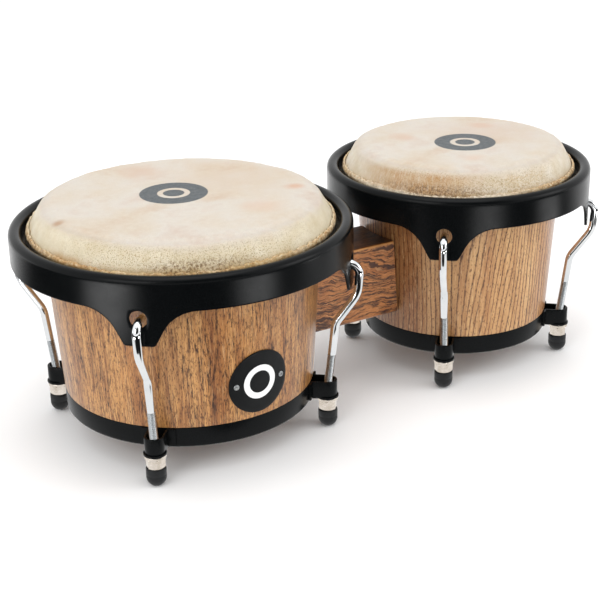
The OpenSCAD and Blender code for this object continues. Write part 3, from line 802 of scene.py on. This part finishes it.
def hook_path(drum):
    """The chromed part's centre line in its own plane, from inside the thread's end up to the tip."""
    crest = Vector((drum.rim_r + 5 - CREST_BEND, CREST_Z))
    crest_start = crest + CREST_BEND * outwards(TOP_LEAN)
    top = crest_start - TOP_LENGTH * heading(TOP_LEAN)
    high = [2 * top - p for p in bend(top, HIGH_BEND, TOP_LEAN, HOOK_LEAN, 8)][::-1]
    # the slanted stretch and the leaning rod meet in the low bend
    low = bend((0, 0), LOW_BEND, ROD_LEAN, HOOK_LEAN, 8)
    rod = Vector((rod_x(drum, 50), 50))
    gap = high[0] - low[-1] - rod
    a, b = heading(ROD_LEAN), heading(HOOK_LEAN)
    foot = rod + (gap.x * b.y - gap.y * b.x) / (a.x * b.y - a.y * b.x) * a
    thread_top = THREAD_TOP[drum.name]
    points = [Vector((rod_x(drum, z), z)) for z in (thread_top - 2.5, thread_top - 2.1)]
    points += [foot + p for p in low] + high + [top]
    points += bend(crest_start, CREST_BEND, TOP_LEAN, -90, 15)
    points += [Vector((crest.x - TIP + d, CREST_Z + CREST_BEND)) for d in (0.9, 0.35, 0)]
    clean = points[:1]
    for p in points[1:]:
        if (p - clean[-1]).length > 0.05:
            clean.append(p)
    return [(p.x, 0, p.y) for p in clean]


def rolled_thread(drum):
    """The rod's thread: four rows of vertices a turn, which climb with the helix."""
    cols, thread_top = 22, THREAD_TOP[drum.name]
    rows = int((thread_top - drum.rod_end - 2) / THREAD_PITCH) * 4
    depths = (0.0, 0.34, 0.55, 0.34)
    end_r = ROD_R - 0.7
    verts = [(rod_x(drum, drum.rod_end) + end_r * c, end_r * s, drum.rod_end) for c, s in circle(cols)]
    for i in range(1, rows + 1):
        for k, (c, s) in enumerate(circle(cols)):
            z = drum.rod_end + 0.6 + THREAD_PITCH * (i / 4 + k / cols)
            fade = min(1, (z - drum.rod_end) / 2.5) * min(1, max(0, thread_top - z) / 1.6)
            r = ROD_R - 0.02 - depths[i % 4] * max(0.15, fade)
            verts.append((rod_x(drum, z) + r * c, r * s, z))
    faces = []
    for i in range(rows):
        this, above = i * cols, (i + 1) * cols
        faces += [(this + k, this + k + 1, above + k + 1, above + k) for k in range(cols - 1)]
        # across the seam a row meets the one a turn further on
        if 0 < i <= rows - 5:
            faces.append((above - 1, (i + 4) * cols, (i + 5) * cols, above + cols - 1))
    # the first and last turns have no partner across the seam, so a face closes each with its end
    faces.append(tuple(range(cols))[::-1])
    faces.append((cols - 1, *(i * cols for i in range(6)), 2 * cols - 1))
    seam = [(rows - i) * cols + cols - 1 for i in range(1, 5)]
    faces.append((*range(rows * cols, (rows + 1) * cols), *seam))
    return verts, faces


def make_hook(drum, place):
    path = hook_path(drum)
    radii = [ROD_R] * len(path)
    radii[0], radii[-2], radii[-1] = ROD_R - 0.3, ROD_R - 0.2, ROD_R - 0.75
    verts, faces = tube(path, radii, 28)
    thread_verts, thread_faces = rolled_thread(drum)
    slots = [0] * len(faces) + [1] * len(thread_faces)
    add(verts, faces, thread_verts, thread_faces)
    make(f"{drum.name}_tuning_hook_{place}", verts, faces, drum.body, CHROME, drum.at(place),
         node=f"{drum.name}_hook_{place}", sharp=50, second=THREAD, slots=slots)


def make_nut(drum, place):
    """A chamfered hexagon with a turned neck that goes into the foot."""
    bottom, top = drum.nut_z
    half_flats, face_r, bore_r, neck_r = 6.0, 5.85, 3.06, 5.28
    low = drum.cap_top + 0.2
    # the profile's points 4 to 9 are the hexagon's lower face, chamfers, side and upper face
    profile = [(bore_r, bottom), (5.1, bottom), (neck_r, bottom + 0.25), (neck_r, low)]
    profile += [(face_r, low)] * 3 + [(face_r, top)] * 3 + [(3.5, top), (bore_r, top - 0.5)]

    def shape(i, a, r, z):
        hexagon = half_flats / math.cos((a + math.pi / 6) % (math.pi / 3) - math.pi / 6) - 0.03
        drop = max(0.0, hexagon - face_r) * 0.62
        if i in (5, 8):
            return hexagon - 0.12, z + (drop - 0.05 if i == 5 else 0.05 - drop)
        if i in (6, 7):
            return hexagon, z + (drop + 0.15 if i == 6 else -drop - 0.15)
        return r, z

    verts, faces = lathe(profile, 96, drum.rod_r, shape)
    make(f"{drum.name}_nut_{place}_hexagon", verts, faces, f"{drum.name}_nut_{place}", NICKEL, drum.at(place),
         node=f"{drum.name}_tuning_nut_{place}", sharp=24)


def make_cap(drum, place):
    """The moulded rubber foot: domed, with a soft rim, a moulding line, and a socket for the nut's neck."""
    r, h = drum.cap_r, drum.cap_top
    dome = r - 0.4
    profile = [(0.02, 0.0), (1.2, 0.0), (2.3, 0.02)]
    profile += [(x, max(z, 0.02)) for x, z in arc(0, dome, r, -70, -6, 14)]
    profile += [(r, dome + 0.4), (r, dome + 1.3), (r - 0.10, dome + 1.45), (r - 0.10, dome + 1.6)]
    profile += [(r, dome + 1.75), (r, h - 0.9), (r - 0.12, h - 0.35), (r - 0.45, h - 0.05), (r - 0.8, h)]
    profile += [(5.9, h), (5.55, h - 0.15), (5.4, h - 0.5), (5.4, 10.2), (4.4, 10.1), (4.3, 9.8)]
    profile += [(4.3, 3.0), (4.0, 2.8), (0.02, 2.8)]
    verts, faces = lathe(profile, 56, drum.rod_r)
    make(f"{drum.name}_foot_{place}", verts, faces, f"{drum.name}_nut_{place}", RUBBER, drum.at(place),
         node=f"{drum.name}_foot_cap_{place}", sharp=50)


# ---------------------------------------------------------------- lugs, washers, rings and rims

def strap(drum, thick, outer):
    """Half a lug's strap as a line from its flange's end, along the ring, to the side of its U."""
    ring, mid = drum.ring_r + thick / 2, outer - thick / 2
    end, start = math.asin((outer + 5) / (drum.ring_r + thick)), math.asin((mid + 1.6) / ring)
    angles = [end - (end - start) * k / 4 for k in range(5)]
    flange = [(ring * math.cos(a), ring * math.sin(a)) for a in angles]
    corner = (ring * math.cos(math.asin(mid / ring)), mid)
    half = flange + rounded([flange[-1], corner, (drum.rod_r, mid)], [1.5], 5)[1:-1] + [(drum.rod_r, mid)]
    half += arc(drum.rod_r, 0, mid, 90, 0, 14)[1:]
    return half + [(x, -y) for x, y in half[-2::-1]]


def lug_floor(drum, thick, outer):
    """A lug's floor, seen from the rod's axis: a round nose, straight sides, and a back along the ring."""
    low, cols, hole_r, ease = drum.lug_z[0], 72, 3.3, 0.45

    def reach(c, s):
        if c >= 0:
            return outer + 1
        to_side = (outer - 0.9) / abs(s) if abs(s) > 1e-6 else math.inf
        # the distance from the rod to the ring along this ray
        along, over = drum.rod_r * c, drum.rod_r * drum.rod_r - (drum.ring_r + 0.05) ** 2
        square = along * along - over
        to_ring = -along - math.sqrt(square) if square > 0 else math.inf
        return min(max(outer + 1, min(to_side, to_ring)), to_ring)

    top = low + thick
    rows = [(None, top), (-ease, top), (-0.13, top - 0.13), (0, top - ease)]
    rows += [(0, low + ease), (-0.13, low + 0.13), (-ease, low), (None, low)]
    verts = []
    for inset, z in rows:
        for c, s in circle(cols):
            r = hole_r if inset is None else reach(c, s) + inset
            verts.append((drum.rod_r + r * c, r * s, z))
    return verts, backwards(quads(len(rows), cols, close_rows=True))


def make_lug(drum, place):
    """A bent steel strap round the rod, with its flanges on the ring, and its floor."""
    thick, outer = 1.8, 7.0
    low, high = drum.lug_z
    foot = low + 1
    line = strap(drum, thick, outer)
    half = thick / 2
    corners = [(0, foot), (half, foot), (half, high), (-half, high), (-half, foot), (0, foot)]
    section = rounded(corners, [0.3, 0.55, 0.55, 0.3], 3)[:-1]
    verts, n, ring = [], len(line), len(section)
    for i, p in enumerate(line):
        d = (Vector(line[min(i + 1, n - 1)]) - Vector(line[max(i - 1, 0)])).normalized()
        shrink = 0.8 if i in (0, n - 1) else 1.0
        verts += [(p[0] - d.y * s * shrink, p[1] + d.x * s * shrink, z) for s, z in section]
    faces = quads(n, ring) + ends(n, ring)
    add(verts, faces, *lug_floor(drum, thick, outer))
    make(f"{drum.name}_lug_pressing_{place}", verts, faces, "frame", COAT, drum.at(place),
         node=f"{drum.name}_lug_{place}")


def make_washers(drum):
    low, high = drum.washer_z
    r, ease = 7.6, 0.35
    profile = [(3.3, low + 0.2), (3.5, low), (r - ease, low), (r - 0.1, low + 0.1), (r, low + ease)]
    profile += [(r, high - ease), (r - 0.1, high - 0.1), (r - ease, high), (3.5, high), (3.3, high - 0.2)]
    verts, faces = [], []
    for angle in PLACES.values():
        one, its_faces = lathe(profile, 64)
        place = turned(angle) @ Matrix.Translation((drum.rod_r, 0, 0))
        add(verts, faces, [tuple(place @ Vector(p)) for p in one], its_faces)
    make(f"{drum.name}_washer_set", verts, faces, "frame", NICKEL, drum.centre(),
         node=f"{drum.name}_lug_washers", sharp=50)


def make_ring(drum):
    """The bottom ring: a band with a folded lip under the shell and softened edges."""
    r, (low, high), thick, lip = drum.ring_r, drum.ring_z, 1.6, 9
    corners = [(r - lip, low + 0.8), (r - lip, low), (r, low), (r, high)]
    corners += [(r - thick, high), (r - thick, low + thick), (r - lip, low + thick), (r - lip, low + 0.8)]
    verts, faces = lathe(rounded(corners, [0.5, 1.9, 0.5, 0.3, 0.3, 0.5], 4)[:-1], 256)
    make(f"{drum.name}_foot_ring", verts, faces, "frame", COAT, drum.centre(),
         node=f"{drum.name}_bottom_ring", sharp=45)


class Ear:
    """The rim's lower edge over a quarter turn: level, then a fillet, a slope, and the ear's flat tip."""

    def __init__(self, bottom):
        self.bottom, self.band = bottom, 133.3
        self.tip, self.fillet, self.slope = 10.3, 25.0, math.radians(62)
        fillet_z = self.band - self.fillet * (1 - math.cos(self.slope))
        self.side = self.tip + (fillet_z - bottom) / math.tan(self.slope)
        self.end = self.side + self.fillet * math.sin(self.slope)

    def height(self, s):
        """The edge's height at a distance along the rim from the ear's middle."""
        s = abs(s)
        if s >= self.end:
            return self.band
        if s >= self.side:
            return self.band - self.fillet + math.sqrt(max(0, self.fillet ** 2 - (self.end - s) ** 2))
        if s > self.tip:
            return self.bottom + (s - self.tip) * math.tan(self.slope)
        return self.bottom

    def soft(self, s):
        """The same height with its corners eased."""
        return sum(self.height(s + 1.1 * k / 6) for k in range(-6, 7)) / 13

    def normal(self, s):
        d = (self.soft(s + 0.2) - self.soft(s - 0.2)) / 0.4
        return Vector((-d, 1)).normalized()


def rim_stations(sector, square, cells, reach):
    """Distances along a quarter of the rim from its ear's middle: even over the hole, then coarser."""
    right = [square + 0.9 * k for k in range(1, 9)]
    while right[-1] < reach:
        right.append(right[-1] + 1.5)
    far = max(4, round((sector - right[-1]) / 3.2))
    start = right[-1]
    right += [start + (sector - start) * k / far for k in range(1, far + 1)]
    middle = [-square + 2 * square / cells * k for k in range(cells + 1)]
    return [-s for s in right[::-1]] + middle + right


def make_rim(drum):
    """The rim: a rolled top edge and a band with four ears, each with a hole, as one sheet."""
    outer_r, thick, roll, ease = drum.rim_r, 2.0, 4.6, 0.45
    ear, ear_z, join_z = Ear(drum.ear_bottom), drum.ear_bottom, drum.rim_top - roll
    hole_z, hole_r, square, cells = 128.0, 5.9, 9.0, 12
    sector = math.pi * outer_r / 4
    stations = rim_stations(sector, square, cells, ear.end + 2)
    below = [(hole_z - square - ear_z) * k / 6 + ear_z for k in range(1, 6)]
    box_rows = [hole_z - square + 2 * square / cells * k for k in range(cells + 1)]
    above = [hole_z + square + (join_z - hole_z - square) * k / 6 for k in range(1, 7)]
    heights = below + box_rows + above
    first_box = len(below)
    inside = [i for i, s in enumerate(stations) if abs(s) <= square + 1e-6]
    i0, i1 = inside[0], inside[-1]
    # a sharp sheet edge eased by a small round: how far in from the edge, and how deep from the outer face
    eased = [(ease, 0.0), (0.13, 0.13), (0.0, ease), (0.0, thick - ease), (0.13, thick - 0.13), (ease, thick)]
    # the same round the hole: the share of the way from the square to the hole comes first
    hole_rows = [(0.5, 0.2, 0.0), *((1.0, off, depth) for off, depth in eased), (0.5, 0.2, thick)]
    total = 4 * (len(stations) - 1)
    verts, faces, index = [], [], {}

    def vertex(key, s, z, depth):
        if key not in index:
            index[key] = len(verts)
            a = s / outer_r
            r = outer_r - depth
            verts.append((r * math.cos(a), r * math.sin(a), z))
        return index[key]

    def column(q, i):
        """A station's number round the whole rim, so that neighbouring quarters share their last column."""
        return (q * (len(stations) - 1) + i) % total

    def along(q, i):
        return stations[i] + (q + 0.5) * 2 * sector

    def sheet(q, i, j, side):
        """A point of the band's outer face (side 0) or inner face (side 1)."""
        low = ear.soft(stations[i])
        z = low + ease + (join_z - low - ease) * ((heights[j] - ear_z) / (join_z - ear_z))
        if i0 <= i <= i1:
            z = heights[j]
        return vertex((side, column(q, i), j), along(q, i), z, side * thick)

    def rim_edge(q, i, k):
        n = ear.normal(stations[i])
        off, depth = eased[k]
        z = ear.soft(stations[i]) + n.y * off
        return vertex(("edge", column(q, i), k), along(q, i) + n.x * off, z, depth)

    # the grid's points on the border of the square round the hole, one way round
    steps = range(cells)
    loop = [(i0 + k, first_box) for k in steps] + [(i1, first_box + k) for k in steps]
    loop += [(i1 - k, first_box + cells) for k in steps] + [(i0, first_box + cells - k) for k in steps]

    def around(q, k, row):
        """Rings of points from the square outside (row 0), through the hole, to the square inside."""
        i, j = loop[k % len(loop)]
        if row == 0:
            return sheet(q, i, j, 0)
        if row == len(hole_rows) + 1:
            return sheet(q, i, j, 1)
        d = Vector((stations[i], box_rows[j - first_box] - hole_z))
        share, grow, depth = hole_rows[row - 1]
        u = d.normalized()
        p = d.lerp(u * hole_r, share) + u * grow
        return vertex(("hole", q, k % len(loop), row), p.x + (q + 0.5) * 2 * sector, hole_z + p.y, depth)

    for q in range(4):
        for i in range(len(stations) - 1):
            for j in range(len(heights) - 1):
                if i0 <= i < i1 and first_box <= j < first_box + cells:
                    continue
                corners = (i, j), (i + 1, j), (i + 1, j + 1), (i, j + 1)
                faces.append(tuple(sheet(q, *c, 0) for c in corners))
                faces.append(tuple(sheet(q, *c, 1) for c in corners[::-1]))
            faces.append((rim_edge(q, i, 0), rim_edge(q, i + 1, 0), sheet(q, i + 1, 0, 0), sheet(q, i, 0, 0)))
            faces.append((sheet(q, i, 0, 1), sheet(q, i + 1, 0, 1), rim_edge(q, i + 1, 5), rim_edge(q, i, 5)))
            for k in range(5):
                corners = (i, k + 1), (i + 1, k + 1), (i + 1, k), (i, k)
                faces.append(tuple(rim_edge(q, *c) for c in corners))
        for k in range(len(loop)):
            for row in range(len(hole_rows) + 1):
                corners = (k, row), (k + 1, row), (k + 1, row + 1), (k, row + 1)
                faces.append(tuple(around(q, *c) for c in corners))

    # the rolled edge on top, on the same columns: over, down inside the drum, and back up within itself
    inner = outer_r - 2 * roll
    rolled = arc(outer_r - roll, join_z, roll, 0, 180, 20)[1:]
    rolled += [(inner, 149), (inner, 146.4), (inner + 0.15, 146.0), (inner + 0.5, 145.78)]
    back_r = inner + thick
    rolled += [(back_r - 0.5, 145.78), (back_r - 0.15, 146.0), (back_r, 146.4), (back_r, 149)]
    rolled += arc(outer_r - roll, join_z, roll - thick, 180, 0, 14)[:-1]
    angles = {column(q, i): along(q, i) / outer_r for q in range(4) for i in range(len(stations))}
    first = len(verts)
    verts += [(r * math.cos(angles[c]), r * math.sin(angles[c]), z) for r, z in rolled for c in range(total)]
    top, last = len(heights) - 1, first + (len(rolled) - 1) * total
    for c in range(total):
        d = (c + 1) % total
        faces.append((index[(0, c, top)], index[(0, d, top)], first + d, first + c))
        faces.append((last + c, last + d, index[(1, d, top)], index[(1, c, top)]))
    faces += quads(len(rolled), total, first)
    make(f"{drum.name}_rolled_rim", verts, faces, drum.body, COAT, drum.centre(),
         node=f"{drum.name}_rim")


# ---------------------------------------------------------------- badge

def make_badge(drum):
    """A thin round plate bent to the shell, with a raised ring, and two hollow nails."""
    low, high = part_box("badge")
    centre_z = (low[2] + high[2]) / 2 / MM
    radius = (high[2] - low[2]) / 2 / MM

    def disc(name, material, profile, node=None):
        """A closed profile of (distance from the badge's middle, height off the shell), turned round it."""
        verts, segments = [], 96
        for from_middle, height in profile:
            for c, s in circle(segments):
                u, v = from_middle * c, from_middle * s
                r = drum.shell_r(centre_z + v) + 0.05 + height
                verts.append((u, -math.sqrt(r * r - u * u), centre_z + v))
        faces = quads(len(profile), segments, close_rows=True)
        make(name, verts, faces, "frame", material, drum.centre(), node=node)

    plate = [(0.05, 0.0)] + [(radius * k / 6, 0.0) for k in range(1, 6)]
    plate += [(radius - 0.3, 0.0), (radius, 0.25), (radius, 0.7), (radius - 0.12, 0.9), (radius - 0.35, 1.0)]
    plate += [(radius * k / 8, 1.0) for k in range(7, 0, -1)] + [(0.05, 1.0)]
    disc("badge_plate", BADGE, plate, "badge")
    ring = [(10.3, 0.8), (12.5, 0.9), (12.5, 1.12), (12.35, 1.22), (11.2, 1.25)]
    ring += [(9.5, 1.25), (8.35, 1.22), (8.2, 1.12), (8.2, 0.9)]
    disc("badge_ring", WHITE, ring)

    nail = [(0.02, 0.5), (0.95, 0.5), (0.95, 1.0), (1.95, 1.0), (2.0, 1.2), (1.85, 1.5), (1.5, 1.72)]
    nail += [(1.1, 1.72), (0.85, 1.5), (0.8, 1.05), (0.02, 1.05)]
    shell_r = drum.shell_r(centre_z)
    verts, faces = [], []
    for offset in (-NAIL_OFFSET, NAIL_OFFSET):
        place = Matrix.Translation((0, 0, centre_z)) @ turned(math.degrees(math.asin(offset / shell_r)))
        place = place @ Matrix.Translation((0, -shell_r - 0.1, 0)) @ turned(90, "X")
        one, its_faces = lathe(nail, 32)
        add(verts, faces, [tuple(place @ Vector(p)) for p in one], its_faces)
    make("badge_eyelets", verts, faces, "frame", ZINC, drum.centre(), node="badge_nails")


# ---------------------------------------------------------------- pieces

for drum in DRUMS:
    make_skin(drum)
    make_rim(drum)
    make_ring(drum)
    make_washers(drum)
    for place in PLACES:
        make_hook(drum, place)
        make_nut(drum, place)
        make_cap(drum, place)
        make_lug(drum, place)
make_badge(DRUMS[0])

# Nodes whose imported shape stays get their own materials.
KEPT = {
    "centre_block": BLOCK,
    "large_shell": large_shell_wood(DRUMS[0]),
    "small_shell": small_shell_wood(DRUMS[1])}
for drum in DRUMS:
    KEPT[f"{drum.name}_flesh_hoop"] = HOOP
    KEPT[f"{drum.name}_block_bolts"] = ZINC
    KEPT[f"{drum.name}_block_washers"] = ZINC
for node, material in KEPT.items():
    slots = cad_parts[node].data.materials
    slots.clear()
    slots.append(material)


# ---------------------------------------------------------------- stage, light and camera

def stage_mesh(name, verts, faces, material):
    mesh = bpy.data.meshes.new(name)
    mesh.from_pydata(verts, [], faces)
    mesh.materials.append(material)
    obj = bpy.data.objects.new(name, mesh)
    bpy.context.scene.collection.objects.link(obj)
    return obj


def stage_plane(name, size, height, material):
    corners = [(-size, -size, height), (size, -size, height), (size, size, height), (-size, size, height)]
    return stage_mesh(name, corners, [(0, 1, 2, 3)], material)


def for_mirrors_only(obj):
    obj.visible_camera = obj.visible_diffuse = obj.visible_shadow = False
    obj.visible_transmission = obj.visible_volume_scatter = False


def floor_paper():
    m = Nodes("floor_paper")
    m.set(base_color=m.ramp(m.noise(3), (0.3, "#f9f9f9"), (0.7, "#fcfcfc")), roughness=0.9,
          specular_ior_level=0.0)
    return m.material


def reflector_card():
    """A glowing card that only glossy surfaces see, for painted reflections from below: black in front of the
    drums, white behind and close to them, with bright patches that paint highlights on the rims.
    """
    m = Nodes("reflector_card")
    x, y, _ = m.split(m.coords)
    behind = m.plus(m.times(x, 0.51), m.times(y, 0.86))
    glow = m.range(behind, -0.02, 0.28, 0.008, 1.5, smooth=True)
    here = m.join(x, y, 0.0)
    near = m.math("MINIMUM", *(m.vector("DISTANCE", here, (drum.x * MM, 0, 0)) for drum in DRUMS))
    near = m.range(near, 0.37, 0.28, 0.0, 0.95, smooth=True)
    for drum in DRUMS:
        # a dark patch before each drum, which paints the dark reflected streak down the crests of the hooks
        from_drum = m.join(m.minus(x, drum.x * MM), y, 0.0)
        ahead = m.range(m.vector("DOT_PRODUCT", from_drum, (-0.51, -0.86, 0.0)), 0.245, 0.270)
        across = m.plus(m.vector("DOT_PRODUCT", from_drum, (0.86, -0.51, 0.0)), 0.02)
        aside = m.range(m.size(across), 0.15, 0.11)
        near = m.times(near, m.minus(1.0, m.times(ahead, aside)))
    glow = m.math("MAXIMUM", glow, near)
    highlight_patches = (-0.58, -0.17, 0.18, 12.0), (0.02, -0.47, 0.15, 9.0), (0.44, -0.37, 0.14, 7.5)
    for patch_x, patch_y, r, power in highlight_patches:
        away = m.vector("DISTANCE", here, (patch_x, patch_y, 0.0))
        glow = m.plus(glow, m.range(away, r, r * 0.25, 0.0, power, smooth=True))
    m.glow(glow)
    return m.material


def dark_room():
    """A faintly glowing, nearly unlit wall that only mirrors see, for painted dark reflections in the chrome
    from behind the camera, curved round the drums' front.
    """
    m = Nodes("dark_room")
    m.glow(m.range(m.noise(2, 2), 0.3, 0.7, 0.01, 0.03))
    verts, steps = [], 24
    for k in range(steps + 1):
        a = math.radians(-165 + 90 * k / steps)
        verts += [(r * math.cos(a), r * math.sin(a), z) for r, z in ((2.2, 0.55), (1.7, 2.0))]
    faces = [(2 * k, 2 * k + 2, 2 * k + 3, 2 * k + 1) for k in range(steps)]
    return stage_mesh("dark_room", verts, faces, m.material)


def softbox(name, location, size, power):
    """A square light that faces the drums."""
    light = bpy.data.lights.new(name, "AREA")
    light.shape = "RECTANGLE"
    light.size = light.size_y = size
    light.energy = power
    obj = bpy.data.objects.new(name, light)
    obj.location = location
    obj.rotation_mode = "QUATERNION"
    obj.rotation_quaternion = (Vector((0, 0, 0.08)) - Vector(location)).to_track_quat("-Z", "Y")
    bpy.context.scene.collection.objects.link(obj)


stage_plane("floor", 40, 0, floor_paper())
for_mirrors_only(stage_plane("reflector_card", 3, 0.0003, reflector_card()))
for_mirrors_only(dark_room())
softbox("light_top", (-0.1, -0.15, 1.7), 1.2, 7)
softbox("light_left", (-1.4, -0.7, 0.9), 0.8, 6)
softbox("light_right", (1.3, -1.0, 0.9), 0.8, 5)

world = bpy.data.worlds.new("studio")
world.use_nodes = True
background = world.node_tree.nodes["Background"]
background.inputs["Color"].default_value = (1, 1, 1, 1)
background.inputs["Strength"].default_value = 1.05
bpy.context.scene.world = world
bpy.context.scene.view_settings.view_transform = "Standard"

# The camera's place and angles are those solved from the photograph.
azimuth, elevation, roll = math.radians(-30.85), math.radians(22.26), math.radians(-1.22)
level = math.cos(elevation)
back = Vector((math.sin(azimuth) * level, -math.cos(azimuth) * level, math.sin(elevation)))
right = (-back).cross(Vector((0, 0, 1))).normalized()
up = right.cross(-back)
rolled_right = right * math.cos(roll) + up * math.sin(roll)
rolled_up = up * math.cos(roll) - right * math.sin(roll)
camera_data = bpy.data.cameras.new("camera")
camera_data.lens, camera_data.sensor_width = 84.32, 36
camera_data.clip_start, camera_data.clip_end = 0.05, 30
camera = bpy.data.objects.new("camera", camera_data)
camera.matrix_world = Matrix((
    (rolled_right.x, rolled_up.x, back.x, -0.5190),
    (rolled_right.y, rolled_up.y, back.y, -0.8413),
    (rolled_right.z, rolled_up.z, back.z, 0.4721),
    (0, 0, 0, 1)))
bpy.context.scene.collection.objects.link(camera)
bpy.context.scene.camera = camera

bpy.context.view_layer.update()
